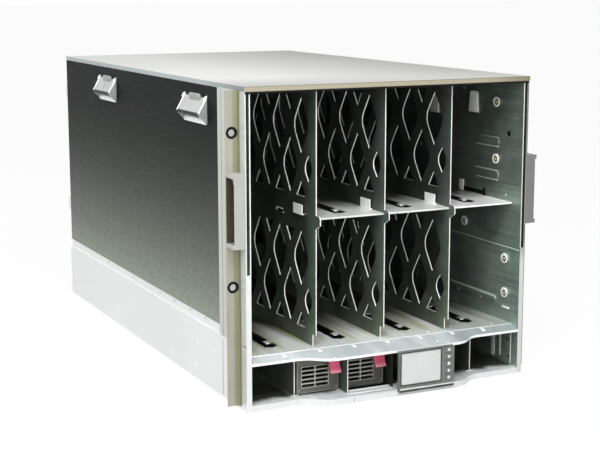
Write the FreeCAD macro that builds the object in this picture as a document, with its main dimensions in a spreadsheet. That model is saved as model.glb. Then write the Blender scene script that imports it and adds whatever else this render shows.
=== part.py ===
import FreeCAD, Part
import math
import os
import Sketcher
from types import SimpleNamespace

# A ten-unit rack enclosure for plug-in modules.
# Frame: +X right, +Y to the rear, +Z up, origin at the centre of the base.

# Driving sizes in millimetres. Depths are counted back from the front edge of the side walls.
SIZES = [
    ("body_width", 447.0, "across the outer side walls"),
    ("body_height", 442.0, "base to top of the cover"),
    ("body_depth", 813.0, "side walls, front to rear"),
    ("sheet", 1.5, "chassis sheet"),
    ("wall_gap", 4.5, "between the two sheets of a side wall"),
    ("running_gap", 0.3, "between parts that move past each other"),
    ("pin_gap", 0.05, "radial play of a pin in its bore"),
    ("strip_height", 190.0, "closing strip at the lower front of a side wall"),
    ("rear_tab_reach", 15.0, "rear tabs of the side walls"),
    ("rear_tab_height", 23.0, "rear tabs of the side walls"),
    ("rear_tab_low", 158.0, "height of the lower rear tab"),
    ("rear_tab_drop", 75.0, "upper rear tab, below the top"),
    ("rear_inset", 13.0, "rear covers, in from the rear edge of the walls"),
    ("skin_sheet", 1.0, "dark side skin"),
    ("skin_low", 103.0, "lower edge of the skin"),
    ("skin_drop", 7.0, "upper edge of the skin, below the top"),
    ("panel_sheet", 3.0, "lower side panel"),
    ("panel_low", 3.0, "lower edge of the side panel"),
    ("panel_height", 87.0, "lower side panel"),
    ("cover_flange", 6.0, "down-turned side of the top cover"),
    ("cover_lip", 9.5, "down-turned front of the top cover"),
    ("ear_flange", 17.8, "rack ear, out from the wall: 482.6 across both"),
    ("rack_hole_inset", 8.75, "rack holes, in from the ear's edge: 465.1 apart"),
    ("rack_hole_pitch", 209.55, "rack holes, low to high"),
    ("rack_hole_low", 170.3, "height of the lower rack holes"),
    ("rack_hole_width", 9.0, "rack hole"),
    ("washer_width", 16.0, "dark washer in its spot face"),
    ("washer_sheet", 1.2, "dark washer"),
    ("spot_depth", 0.8, "spot face in the ear"),
    ("ear_setback", 24.0, "ear face, behind the wall front"),
    ("ear_sheet", 2.0, "rack ear"),
    ("ear_reach", 89.5, "rear edge of the ear's leg"),
    ("ear_low", 4.0, "lower end of the ear"),
    ("ear_bend", 6.0, "fillet between ear and wall"),
    ("ear_land", 0.4, "front edge of that fillet, out from the wall"),
    ("grip_low", 226.0, "lower end of the front grip"),
    ("grip_high", 327.0, "upper end of the front grip"),
    ("grip_plate", 3.0, "front plate of the grip"),
    ("grip_end", 6.0, "end walls of the grip"),
    ("grip_brace", 9.0, "slanted corner inside the grip"),
    ("grip_waist", 2.4, "grip between its ends, in from the ear's edge"),
    ("bulge_reach", 23.0, "front lips, forward in the middle"),
    ("bulge_flat", 95.0, "half width of the straight middle"),
    ("bulge_root", 148.0, "half width where the bulge starts"),
    ("tray_top", 8.0, "top of the base tray, whose lip turns down to the base"),
    ("floor_top", 72.0, "top of the bay floor"),
    ("floor_lip", 9.0, "lower edge of the bay floor's front, below its top"),
    ("floor_fold", 18.0, "fold where the bay floor starts to slope to its front"),
    ("floor_drop", 5.5, "fall of that slope"),
    ("bay_pitch", 108.0, "module zones"),
    ("bay_depth", 500.0, "front face of the midplane"),
    ("divider_front", 22.0, "front edge of the dividers"),
    ("divider_notch", 10.0, "cut at the lower front corner, in depth"),
    ("divider_notch_height", 17.0, "cut at the lower front corner, in height"),
    ("nose_reach", 13.0, "hook of a divider at shelf height, forward of its edge"),
    ("nose_rise", 4.5, "top of that hook, above the shelf"),
    ("nose_drop", 8.0, "lower end of its front, below the shelf's top"),
    ("nose_root", 15.0, "where its slanted underside meets the edge, below the shelf's top"),
    ("nose_round", 5.0, "its upper corner"),
    ("lens_half_height", 39.0, "lens-shaped hole"),
    ("lens_half_width", 22.0, "lens-shaped hole"),
    ("lens_round", 22.0, "rounding of the hole's flanks"),
    ("lens_pitch", 71.0, "holes along a row"),
    ("lens_count", 6, "holes along a row"),
    ("lens_first", 68.0, "depth of the first full hole"),
    ("lens_row_step", 58.5, "rows of holes, in height"),
    ("lens_row_top", 380.0, "height of the upper full row"),
    ("lens_cut_top", 19.5, "flat end of the cut holes at the top, below the middle of their row"),
    ("lens_cut_base", 18.0, "flat end of the cut holes at the shelf, above the middle of their row"),
    ("lens_storey", 188.0, "drop from the upper to the lower storey"),
    ("small_lens_depth", 45.0, "small hole near the front edge"),
    ("small_lens_half_height", 18.5, "small hole near the front edge"),
    ("small_lens_half_width", 11.0, "small hole near the front edge"),
    ("small_lens_round", 14.0, "rounding of its flanks"),
    ("tab_front", 58.0, "bent tab on a divider"),
    ("tab_length", 28.0, "bent tab on a divider"),
    ("tab_reach", 4.0, "bent tab on a divider"),
    ("tab_height", 14.5, "bent tab on a divider"),
    ("shelf_top", 255.0, "top of the middle shelves"),
    ("shelf_front", 24.0, "front edge of the middle shelves"),
    ("shelf_length", 440.0, "middle shelves"),
    ("shelf_lip", 2.5, "down-turned front of a shelf"),
    ("slot_front", 50.0, "rounded end of the slot in a floor"),
    ("slot_back", 165.0, "square end of the slot in a floor"),
    ("slot_width", 12.5, "slot in a floor"),
    ("slot_tab_front", 74.0, "tab that reaches into the slot from the right"),
    ("slot_tab_length", 12.0, "tab that reaches into the slot from the right"),
    ("rib_front", 60.0, "front end of the pressed wall ribs"),
    ("rib_back", 110.0, "rear end of the pressed wall ribs"),
    ("rib_height", 14.0, "pressed wall ribs"),
    ("rib_reach", 2.0, "pressed wall ribs"),
    ("rib_upper", 340.0, "height of the upper rib"),
    ("rib_lower", 290.0, "height of the lower rib"),
    ("low_rib_width", 7.0, "long low rib"),
    ("low_rib_back", 200.0, "rear end of the long low rib"),
    ("low_rib_height", 101.0, "height of the long low rib"),
    ("stud_radius", 7.5, "studs on the inner walls"),
    ("stud_reach", 3.0, "studs on the inner walls"),
    ("bracket_drop", 24.0, "upper edge of a lifting bracket, below the top"),
    ("bracket_slope", 21.0, "fall of its slanted roof"),
    ("bracket_lip", 6.0, "down-turned edge of the roof"),
    ("bracket_roof", 4.5, "roof at the back plate, measured upright"),
    ("bracket_height", 37.0, "back plate of a lifting bracket"),
    ("bracket_reach", 13.0, "lifting bracket, out from the skin"),
    ("bracket_front", 127.5, "start of the front brackets"),
    ("bracket_front_length", 85.0, "front brackets"),
    ("bracket_rear", 526.0, "start of the rear brackets"),
    ("bracket_rear_length", 85.0, "rear brackets"),
    ("supply_pitch", 72.0, "power supply bays"),
    ("supply_width", 66.0, "power supply"),
    ("supply_height", 49.5, "power supply"),
    ("supply_front", 17.0, "face of the power supplies"),
    ("supply_face", 2.0, "face plate of a power supply"),
    ("supply_length", 440.0, "casing of a power supply"),
    ("supply_wall", 1.2, "casing of a power supply"),
    ("runner_width", 12.0, "foot of a bay sheet, which carries the supplies"),
    ("runner_height", 1.2, "foot of a bay sheet, which carries the supplies"),
    ("inner_web_lead", 5.0, "inner bay sheets, ahead of the wall front"),
    ("grille_left", 8.0, "first slot, from the supply's left side"),
    ("grille_low", 9.0, "first slot, from the supply's underside"),
    ("grille_slot_width", 19.5, "slot in the supply's face"),
    ("grille_slot_height", 3.8, "slot in the supply's face"),
    ("grille_column_pitch", 21.5, "slots, side to side"),
    ("grille_row_pitch", 6.2, "slots, low to high"),
    ("latch_width", 16.0, "release latch"),
    ("latch_margin", 2.0, "latch lug at the supply's right side"),
    ("latch_drop", 5.5, "latch pin, below the supply's top"),
    ("latch_stand", 4.0, "latch pin, ahead of the supply's face"),
    ("latch_barrel", 3.2, "radius of the latch round its pin"),
    ("latch_pin", 1.5, "radius of the latch pin"),
    ("latch_length", 16.0, "latch, from its pin down"),
    ("latch_flare", 10.0, "latch tip, ahead of its pin"),
    ("latch_knee", 7.0, "bend of the latch, below its pin"),
    ("latch_knee_front", 4.8, "front of the bend, ahead of the pin"),
    ("latch_knee_back", 1.0, "back of the bend, ahead of the pin"),
    ("latch_tip", 3.2, "latch tip, front to back"),
    ("latch_tip_drop", 1.3, "slant of the latch tip"),
    ("plug_width", 30.0, "power plug at the supply's rear"),
    ("plug_height", 12.0, "power plug at the supply's rear"),
    ("plug_base", 4.0, "power plug body"),
    ("blade_length", 9.0, "power plug blade"),
    ("blade_sheet", 2.0, "power plug blade"),
    ("board_sheet", 2.5, "circuit boards"),
    ("rail_inset", 4.0, "display rail, behind the tray's front edge"),
    ("rail_width", 4.0, "display rail"),
    ("rail_height", 1.2, "display rail"),
    ("carriage_sheet", 2.5, "display carriage"),
    ("carriage_length", 50.0, "display carriage"),
    ("hinge_rise", 0.6, "display hinge above the tray"),
    ("hinge_pin", 1.4, "radius of the display's hinge pin"),
    ("lug_width", 24.0, "hinge lug of the carriage"),
    ("display_left", -2.5, "left side of the display at rest"),
    ("display_width", 89.5, "display housing"),
    ("display_half_sheet", 3.4, "half the display's thickness"),
    ("display_top", 65.0, "upper edge of the display"),
    ("screen_margin", 3.0, "screen from the left side"),
    ("screen_width", 64.0, "screen"),
    ("screen_low", 16.5, "lower edge of the screen"),
    ("screen_height", 46.0, "screen"),
    ("screen_sheet", 1.0, "screen"),
    ("screen_recess", 0.3, "screen behind the housing's face"),
    ("button_width", 9.4, "buttons"),
    ("button_height", 8.4, "buttons"),
    ("button_pitch", 10.2, "buttons, from one to the next"),
    ("button_first", 5.0, "upper button, below the display's top"),
    ("button_margin", 4.6, "buttons from the display's right side"),
    ("button_stand", 0.8, "buttons, ahead of the housing"),
    ("button_depth", 2.5, "buttons, front to back"),
    ("midplane_sheet", 4.0, "midplane board"),
    ("connector_width", 22.0, "module connector"),
    ("connector_height", 70.0, "module connector"),
    ("connector_reach", 14.0, "module connector"),
    ("window_offset", 31.0, "air windows, from the middle of a zone"),
    ("fan_bay_height", 90.0, "fan bay"),
    ("fan_pitch", 86.0, "width of a fan bay"),
    ("fan_width", 85.0, "fan housing"),
    ("fan_length", 100.0, "fan housing"),
    ("fan_bore", 39.0, "radius of the air duct"),
    ("fan_tip", 37.0, "radius of the blade tips"),
    ("fan_hub", 17.0, "radius of the hub"),
    ("fan_hub_length", 40.0, "hub"),
    ("fan_blade", 2.0, "blade"),
    ("fan_blade_sweep", 16.0, "blade, sideways over its length"),
    ("fan_blade_count", 7, "blades"),
    ("fan_shaft", 3.0, "radius of the fan shaft"),
    ("fan_motor_length", 22.0, "motor boss"),
    ("spider_bar", 6.0, "bars that carry the motor"),
    ("fan_bay_length", 180.0, "sheets between the fan bays"),
    ("cover_seam", 0.6, "between blank covers"),
    ("inlet_width", 31.0, "power inlet"),
    ("inlet_height", 24.0, "power inlet"),
    ("inlet_length", 26.0, "power inlet, behind its flange"),
    ("inlet_wall", 2.5, "power inlet"),
    ("inlet_flange", 2.0, "rim round a power inlet"),
    ("inlet_cavity", 18.0, "depth of a power inlet"),
    ("inlet_pin", 5.0, "height of an inlet pin"),
    ("inlet_pin_sheet", 2.0, "inlet pin"),
    ("inlet_pin_length", 15.0, "inlet pin"),
    ("inlet_pin_pitch", 8.0, "inlet pins, side to side"),
]

UPPER_STUDS = [(68.0, 42.0), (67.0, 127.0)]
LOWER_STUDS = [(150.0, 208.0), (38.0, 168.0), (36.0, 116.0)]
BUTTON_NAMES = ["button_up", "button_down", "button_select", "button_right", "button_left"]
MODULE_ZONES = 4
GRILLE_COLUMNS = 2
GRILLE_ROWS = 5
SWITCH_ROWS = 4
SUPPLY_BAYS = 6
FAN_BAYS = 5
# The inner board and the blocks on it: start and end as shares of the supply's length.
BOARD_ENDS = (0.1, 0.9)
BOARD_BLOCKS = [(0.15, 0.35), (0.45, 0.6), (0.7, 0.82)]
NEARLY_ZERO = 1e-6
LEFT, RIGHT = -1, 1
SIDE_NAMES = {LEFT: "left", RIGHT: "right"}


class Dim:
    """A length that knows its value and the sheet formula behind it."""

    def __init__(self, value, text):
        self.value = float(value)
        self.text = text

    def __add__(self, other):
        other = dim(other)
        return Dim(self.value + other.value, f"({self.text} + {other.text})")

    def __sub__(self, other):
        other = dim(other)
        return Dim(self.value - other.value, f"({self.text} - {other.text})")

    def __mul__(self, other):
        other = dim(other)
        return Dim(self.value * other.value, f"({self.text} * {other.text})")

    def __truediv__(self, other):
        other = dim(other)
        return Dim(self.value / other.value, f"({self.text} / {other.text})")

    def __neg__(self):
        return Dim(-self.value, f"(0 - {self.text})")

    def __radd__(self, other):
        return dim(other) + self

    def __rsub__(self, other):
        return dim(other) - self

    def __rmul__(self, other):
        return dim(other) * self

    def root(self):
        return Dim(math.sqrt(self.value), f"sqrt({self.text})")


def dim(length):
    """A plain number as a Dim; a Dim stays as it is."""
    if isinstance(length, Dim):
        return length
    return Dim(length, f"({float(length)!r})")


doc = FreeCAD.newDocument("rack_enclosure")
sheet = doc.addObject("Spreadsheet::Sheet", "sizes")
for row, (alias, value, note) in enumerate(SIZES, start=1):
    sheet.set(f"A{row}", note)
    sheet.set(f"B{row}", str(value))
    sheet.setAlias(f"B{row}", alias)
doc.recompute()
S = SimpleNamespace(**{alias: Dim(value, f"sizes.{alias}") for alias, value, note in SIZES})

nodes = []


# Helpers that bind solids to the sheet

def bind(thing, path, length):
    thing.setExpression(path, dim(length).text)


def place(thing, x, y, z):
    for axis, length in zip("xyz", (x, y, z)):
        bind(thing, f"Placement.Base.{axis}", length)


def node(thing, name):
    """Mark a finished sub-part and give it its name."""
    thing.Label = name
    nodes.append(thing)
    return thing


def block(x, y, z):
    """A rectangular solid, from (low, high) along each axis."""
    solid = doc.addObject("Part::Box", "block")
    for path, (low, high) in (("Length", x), ("Width", y), ("Height", z)):
        bind(solid, path, dim(high) - low)
    place(solid, x[0], y[0], z[0])
    return solid


def rod(axis, start, radius, length):
    """A cylinder from a start point along +X, +Y or +Z."""
    turns = {"x": ((0, 1, 0), 90), "y": ((1, 0, 0), -90), "z": ((0, 0, 1), 0)}
    turn_axis, angle = turns[axis]
    solid = doc.addObject("Part::Cylinder", "rod")
    rotation = FreeCAD.Rotation(FreeCAD.Vector(*turn_axis), angle)
    solid.Placement = FreeCAD.Placement(FreeCAD.Vector(), rotation)
    bind(solid, "Radius", radius)
    bind(solid, "Height", length)
    place(solid, *start)
    return solid


def fuse(pieces):
    joined = doc.addObject("Part::MultiFuse", "fused")
    joined.Shapes = pieces
    joined.Refine = True
    return joined


def cut(base, tool):
    result = doc.addObject("Part::Cut", "cut")
    result.Base = base
    result.Tool = tool
    result.Refine = True
    return result


def bundle(pieces):
    """Separate solids in one sub-part."""
    compound = doc.addObject("Part::Compound", "bundle")
    compound.Links = pieces
    return compound


def mirrored(side, low, high):
    """A range on the right-hand side, or its mirror image on the left."""
    return (dim(low), dim(high)) if side == RIGHT else (-dim(high), -dim(low))


# Helpers for sketched bodies. A corner is (u, v), or (u, v, centre) where an arc leads to the next.

def new_body():
    return doc.addObject("PartDesign::Body", "body")


def origin_feature(body, role):
    return next(item for item in body.Origin.OriginFeatures if item.Role == role)


def vector(point):
    return FreeCAD.Vector(dim(point[0]).value, dim(point[1]).value, 0)


def arc_between(start, end, centre):
    """The shorter arc between two points."""
    middle = (start + end) * 0.5 - centre
    middle.normalize()
    return Part.Arc(start, centre + middle * (start - centre).Length, end)


def fix_point(geometry, position, point, limits):
    for kind, length in zip(("DistanceX", "DistanceY"), point):
        if length is not None:
            limits.append((kind, geometry, position, dim(length)))


def apply_limits(sketch, joins, limits):
    """Join the corners and tie each of them to the sheet."""
    constraints = [Sketcher.Constraint("Coincident", *pair) for pair in joins]
    for kind, geometry, position, length in limits:
        constraints.append(Sketcher.Constraint(kind, -1, 1, geometry, position, length.value))
    first = sketch.ConstraintCount
    sketch.addConstraint(constraints)
    for index, limit in enumerate(limits, start=first + len(joins)):
        bind(sketch, f"Constraints[{index}]", limit[3])


def draw_outline(sketch, corners):
    """A closed outline of lines and arcs, with every corner tied to the sheet."""
    ends = []
    limits = []
    for index, corner in enumerate(corners):
        start = vector(corner)
        following = vector(corners[(index + 1) % len(corners)])
        if len(corner) == 3:
            centre = vector(corner[2])
            edge = sketch.addGeometry(arc_between(start, following, centre), False)
            forward = sketch.getPoint(edge, 1).distanceToPoint(start) < NEARLY_ZERO
            ends.append((edge, 1, 2) if forward else (edge, 2, 1))
            chord = following - start
            upright = abs(chord.y) > abs(chord.x)
            held = (corner[2][0], None) if upright else (None, corner[2][1])
            fix_point(edge, 3, held, limits)
        else:
            edge = sketch.addGeometry(Part.LineSegment(start, following), False)
            ends.append((edge, 1, 2))
        fix_point(edge, ends[-1][1], corner[:2], limits)
    joins = []
    for index, (edge, start, end) in enumerate(ends):
        following, following_start, _ = ends[(index + 1) % len(ends)]
        joins.append((edge, end, following, following_start))
    apply_limits(sketch, joins, limits)


def draw_circle(sketch, u, v, radius):
    circle = Part.Circle(vector((u, v)), FreeCAD.Vector(0, 0, 1), dim(radius).value)
    edge = sketch.addGeometry(circle, False)
    limits = []
    fix_point(edge, 3, (u, v), limits)
    apply_limits(sketch, [], limits)
    index = sketch.addConstraint(Sketcher.Constraint("Radius", edge, dim(radius).value))
    bind(sketch, f"Constraints[{index}]", radius)


def profile(body, role, offset, outlines, circles=()):
    """A sketch on an origin plane, moved along the plane's normal."""
    sketch = body.newObject("Sketcher::SketchObject", "profile")
    sketch.AttachmentSupport = (origin_feature(body, role), [""])
    sketch.MapMode = "FlatFace"
    bind(sketch, "AttachmentOffset.Base.z", offset)
    for corners in outlines:
        draw_outline(sketch, corners)
    for circle in circles:
        draw_circle(sketch, *circle)
    return sketch


def pad(body, role, span, outlines, circles=()):
    """Add material over a span of X (YZ plane), Y (XZ plane) or Z (XY plane)."""
    low, high = dim(span[0]), dim(span[1])
    offset = -high if role == "XZ_Plane" else low
    sketch = profile(body, role, offset, outlines, circles)
    feature = body.newObject("PartDesign::Pad", "pad")
    feature.Profile = sketch
    bind(feature, "Length", high - low)
    return feature


def pocket(body, role, span, outlines, circles=()):
    """Remove material over a span of X (YZ plane), Y (XZ plane) or Z (XY plane)."""
    low, high = dim(span[0]), dim(span[1])
    offset = -low if role == "XZ_Plane" else high
    sketch = profile(body, role, offset, outlines, circles)
    feature = body.newObject("PartDesign::Pocket", "pocket")
    feature.Profile = sketch
    bind(feature, "Length", high - low)
    return feature


def loft(body, kind, sections):
    """Add or remove a solid with straight sides between outlines at two heights."""
    sketches = [profile(body, "XY_Plane", height, [outline]) for height, outline in sections]
    feature = body.newObject(f"PartDesign::{kind}Loft", "loft")
    feature.Profile = sketches[0]
    feature.Sections = sketches[1:]
    feature.Ruled = True
    return feature


def widened(span, gap):
    return (span[0] - gap, span[1] + gap)


def rectangle(u, v):
    return [(u[0], v[0]), (u[1], v[0]), (u[1], v[1]), (u[0], v[1])]


def round_ended(tip, tail, middle, width, upright):
    """A bar with one round end at its tip and a square end at its tail."""
    radius = width / 2
    centre = (tip + radius, middle)
    corners = [
        (tail, middle + radius), (tip + radius, middle + radius, centre), (tip, middle, centre),
        (tip + radius, middle - radius), (tail, middle - radius),
    ]
    if not upright:
        return corners
    turned = []
    for corner in corners:
        swapped = (corner[1], corner[0])
        if len(corner) == 3:
            swapped += ((corner[2][1], corner[2][0]),)
        turned.append(swapped)
    return turned


def turned_back(path):
    """The same path walked from its far end."""
    result = []
    for index in range(len(path) - 1, -1, -1):
        corner = tuple(path[index][:2])
        if index > 0 and len(path[index - 1]) == 3:
            corner += (path[index - 1][2],)
        result.append(corner)
    return result


# Places that many sub-parts share

half = S.body_width / 2
ear_edge = half + S.ear_flange
rack_hole_line = ear_edge - S.rack_hole_inset
inner = half - S.sheet * 2 - S.wall_gap
front = -(S.body_depth / 2)
rear = S.body_depth / 2
ceiling = S.body_height - S.sheet
rear_cover = rear - S.rear_inset
midplane_front = front + S.bay_depth
midplane_back = midplane_front + S.midplane_sheet
panel_top = S.panel_low + S.panel_height
shelf_under = S.shelf_top - S.sheet
floor_under = S.floor_top - S.sheet
supply_low = S.tray_top + S.runner_height + S.running_gap
supply_top = supply_low + S.supply_height


def behind(depth):
    """A depth counted back from the front edge of the side walls."""
    return front + depth


floor_fold = behind(S.floor_fold)

# Shell

def side_wall(side):
    plate = block(mirrored(side, half - S.sheet, half), (front, rear), (0, ceiling))
    strip = block(mirrored(side, inner, half - S.sheet), (front, front + S.sheet), (0, S.strip_height))
    pieces = [plate, strip]
    for low in (S.rear_tab_low, S.body_height - S.rear_tab_drop):
        reach = (rear, rear + S.rear_tab_reach)
        pieces.append(block(mirrored(side, half - S.sheet, half), reach, (low, low + S.rear_tab_height)))
    node(fuse(pieces), f"{SIDE_NAMES[side]}_side_wall")


def inner_wall(side):
    outline = [
        (front, S.strip_height), (front + S.sheet, S.strip_height), (front + S.sheet, 0),
        (rear_cover, 0), (rear_cover, ceiling), (front, ceiling),
    ]
    body = new_body()
    pad(body, "YZ_Plane", mirrored(side, inner, inner + S.sheet), [outline])
    ribs = [
        round_ended(behind(S.rib_front), behind(S.rib_back), S.rib_upper, S.rib_height, False),
        round_ended(behind(S.rib_front), behind(S.rib_back), S.rib_lower, S.rib_height, False),
        round_ended(behind(S.rib_front), behind(S.low_rib_back), S.low_rib_height, S.low_rib_width, False),
    ]
    pad(body, "YZ_Plane", mirrored(side, inner - S.rib_reach, inner), ribs)
    node(body, f"{SIDE_NAMES[side]}_inner_wall")


def side_skin(side):
    panel = block(
        mirrored(side, half, half + S.skin_sheet), (behind(S.ear_reach), rear),
        (S.skin_low, S.body_height - S.skin_drop),
    )
    node(panel, f"{SIDE_NAMES[side]}_side_skin")


def side_panel(side):
    start = behind(S.ear_setback + S.ear_sheet)
    panel = block(mirrored(side, half, half + S.panel_sheet), (start, rear), (S.panel_low, panel_top))
    node(panel, f"{SIDE_NAMES[side]}_base_side")


def top_cover():
    edge = half + S.sheet
    length = (front - S.sheet, rear)
    pieces = [
        block((-edge, edge), length, (ceiling, S.body_height)),
        block((-half, half), (front - S.sheet, front), (S.body_height - S.cover_lip, ceiling)),
    ]
    for side in (LEFT, RIGHT):
        flange = (S.body_height - S.cover_flange, ceiling)
        pieces.append(block(mirrored(side, half, edge), length, flange))
    node(fuse(pieces), "top_cover")


def front_edge(shift):
    """The bulged front outline that the tray and the bay floor share, from left to right."""
    line = front + shift
    nose = line - S.bulge_reach
    waist = line - S.bulge_reach / 2
    middle = (S.bulge_flat + S.bulge_root) / 2
    run = (S.bulge_root - S.bulge_flat) / 2
    radius = (run * run + S.bulge_reach * S.bulge_reach / 4) / S.bulge_reach
    return [
        (-inner, line),
        (-S.bulge_root, line, (-S.bulge_root, line - radius)),
        (-middle, waist, (-S.bulge_flat, nose + radius)),
        (-S.bulge_flat, nose),
        (S.bulge_flat, nose, (S.bulge_flat, nose + radius)),
        (middle, waist, (S.bulge_root, line - radius)),
        (S.bulge_root, line),
        (inner, line),
    ]


def bulged_plate(body, height, shift):
    """A flat sheet whose front follows the bulge."""
    outline = front_edge(shift) + [(inner, rear_cover), (-inner, rear_cover)]
    pad(body, "XY_Plane", (height - S.sheet, height), [outline])


def bulged_lip(body, low, high):
    pad(body, "XY_Plane", (low, high), [front_edge(0) + turned_back(front_edge(S.sheet))])


def zone_middle(zone):
    return S.bay_pitch * (zone - (MODULE_ZONES - 1) / 2)


def floor_slot(zone):
    """The slot in the floor of a zone: round at its front, with a tab that reaches in from the right."""
    middle = zone_middle(zone)
    left = middle - S.slot_width / 2
    right = middle + S.slot_width / 2
    start = behind(S.slot_front)
    end = behind(S.slot_back)
    shoulder = start + S.slot_width / 2
    centre = (middle, shoulder)
    tab_start = behind(S.slot_tab_front)
    tab_end = tab_start + S.slot_tab_length
    return [
        (left, end), (left, shoulder, centre), (middle, start, centre), (right, shoulder),
        (right, tab_start), (middle, tab_start), (middle, tab_end), (right, tab_end), (right, end),
    ]


def floor_apron(body):
    """The front of the bay floor, which slopes from a straight fold down to the bulged edge."""
    bulged = front_edge(0)
    straight = [(corner[0], floor_fold) for corner in bulged]
    back = floor_fold + S.sheet
    ends = [(inner, back), (-inner, back)]
    for kind, top in (("Additive", S.floor_top), ("Subtractive", floor_under)):
        loft(body, kind, [(top, straight + ends), (top - S.floor_drop, bulged + ends)])


def decks():
    bottom = new_body()
    bulged_plate(bottom, S.sheet, S.sheet)
    node(bottom, "bottom_plate")
    tray = new_body()
    bulged_plate(tray, S.tray_top, 0)
    bulged_lip(tray, 0, S.tray_top - S.sheet)
    node(tray, "base_tray")
    floor = new_body()
    flat = rectangle((-inner, inner), (floor_fold, rear_cover))
    pad(floor, "XY_Plane", (floor_under, S.floor_top), [flat])
    floor_apron(floor)
    bulged_lip(floor, S.floor_top - S.floor_lip, S.floor_top - S.floor_drop)
    slots = [floor_slot(zone) for zone in range(MODULE_ZONES)]
    pocket(floor, "XY_Plane", (floor_under, S.floor_top), slots)
    node(floor, "bay_floor")


# Rack ears, grips and lifting brackets

def rack_ear(side):
    sign = 1 if side == RIGHT else -1
    face = behind(S.ear_setback)
    back = face + S.ear_sheet
    root = half + S.ear_land
    bend = root + S.ear_bend
    outline = [
        (half, face - S.ear_bend), (root, face - S.ear_bend, (bend, face - S.ear_bend)),
        (bend, face), (ear_edge, face), (ear_edge, back),
        (half + S.ear_sheet, back), (half + S.ear_sheet, behind(S.ear_reach)), (half, behind(S.ear_reach)),
    ]
    top = S.body_height - S.cover_flange
    holes = [S.rack_hole_low, S.rack_hole_low + S.rack_hole_pitch]
    middle = rack_hole_line * sign
    body = new_body()
    pad(body, "XY_Plane", (S.ear_low, top), [[flipped(corner, sign) for corner in outline]])
    leg = rectangle(mirrored(side, half, half + S.ear_sheet), (back, behind(S.ear_reach)))
    pocket(body, "XY_Plane", (S.ear_low, panel_top + S.running_gap), [leg])
    bend_strip = rectangle(mirrored(side, half, bend), (face - S.ear_bend, face))
    pocket(body, "XY_Plane", (S.grip_low, S.grip_high), [bend_strip])
    spot = [(middle, height, S.washer_width / 2 + S.running_gap / 2) for height in holes]
    pocket(body, "XZ_Plane", (face - S.ear_bend, face + S.spot_depth), [], spot)
    bore = [(middle, height, S.rack_hole_width / 2) for height in holes]
    pocket(body, "XZ_Plane", (face, back), [], bore)
    node(body, f"{SIDE_NAMES[side]}_rack_ear")


def flipped(corner, sign):
    """A corner of a right-hand outline, mirrored for the left-hand side."""
    result = (corner[0] * sign, corner[1])
    if len(corner) == 3:
        result += ((corner[2][0] * sign, corner[2][1]),)
    return result


def ear_washers():
    rings = []
    floor = behind(S.ear_setback) + S.spot_depth
    for side in (LEFT, RIGHT):
        for height in (S.rack_hole_low, S.rack_hole_low + S.rack_hole_pitch):
            start = (rack_hole_line * side, floor - S.washer_sheet, height)
            disc = rod("y", start, S.washer_width / 2, S.washer_sheet)
            hole = rod("y", start, S.rack_hole_width / 2, S.washer_sheet)
            rings.append(cut(disc, hole))
    node(bundle(rings), "ear_washers")


def front_grip(side):
    plate = front + S.grip_plate
    face = behind(S.ear_setback)
    low = S.grip_low + S.grip_end
    high = S.grip_high - S.grip_end
    outline = [
        (front, S.grip_low), (face, S.grip_low), (face, low), (plate, low),
        (plate, high - S.grip_brace), (plate + S.grip_brace, high), (face, high),
        (face, S.grip_high), (front, S.grip_high),
    ]
    body = new_body()
    pad(body, "YZ_Plane", mirrored(side, half, ear_edge - S.grip_waist), [outline])
    ends = [rectangle((front, face), (S.grip_low, low)), rectangle((front, face), (high, S.grip_high))]
    pad(body, "YZ_Plane", mirrored(side, half, ear_edge), ends)
    node(body, f"{SIDE_NAMES[side]}_grip")


def lifting_bracket(side, start, length):
    """A folded hood: back plate, slanted roof with a lip, and a gusset at each end."""
    sign = 1 if side == RIGHT else -1
    wall = half + S.skin_sheet
    out = wall + S.bracket_reach
    inside = out - S.sheet
    top = S.body_height - S.bracket_drop
    low = top - S.bracket_height
    shoulder = top - S.bracket_slope
    shoulder_under = shoulder - S.sheet / 2
    roof_under = top - S.bracket_roof
    lip = shoulder - S.bracket_lip
    hood = [
        (wall, low), (wall, top), (out, shoulder), (out, lip),
        (inside, lip), (inside, shoulder_under), (wall + S.sheet, roof_under), (wall + S.sheet, low),
    ]
    gusset = [
        (wall + S.sheet, roof_under), (inside, shoulder_under), (inside, lip), (wall + S.sheet, low),
    ]
    body = new_body()
    end = start + length
    pad(body, "XZ_Plane", (start, end), [[flipped(corner, sign) for corner in hood]])
    for span in ((start, start + S.sheet), (end - S.sheet, end)):
        pad(body, "XZ_Plane", span, [[flipped(corner, sign) for corner in gusset]])
    return body


def lifting_brackets(side):
    hoods = [
        lifting_bracket(side, behind(S.bracket_front), S.bracket_front_length),
        lifting_bracket(side, behind(S.bracket_rear), S.bracket_rear_length),
    ]
    node(bundle(hoods), f"{SIDE_NAMES[side]}_lift_brackets")


# Module bays

def lens_flank(half_height, half_width, radius):
    """Where the straight side of a lens meets its rounded flank, and the rounding's centre."""
    offset = half_width - radius
    reach = offset * offset + half_height * half_height
    tangent = (reach - radius * radius).root()
    across = offset + (tangent * half_height - radius * offset) * radius / reach
    rise = (radius * half_height + tangent * offset) * radius / reach
    return across, rise, offset


def lens(depth, height, half_height, half_width, radius):
    """A hole with a point above and below, straight sides and rounded flanks."""
    across, rise, offset = lens_flank(half_height, half_width, radius)
    return [
        (depth, height - half_height),
        (depth + across, height - rise, (depth + offset, height)), (depth + across, height + rise),
        (depth, height + half_height),
        (depth - across, height + rise, (depth - offset, height)), (depth - across, height - rise),
    ]


def lens_tip(depth, height, flat, direction):
    """The point of a lens beyond a flat line, up (1) or down (-1)."""
    across, rise, _ = lens_flank(S.lens_half_height, S.lens_half_width, S.lens_round)
    length = S.lens_half_height - (flat - height) * direction
    reach = across * length / (S.lens_half_height - rise)
    return [(depth - reach, flat), (depth + reach, flat), (depth, flat + length * direction)]


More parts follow.
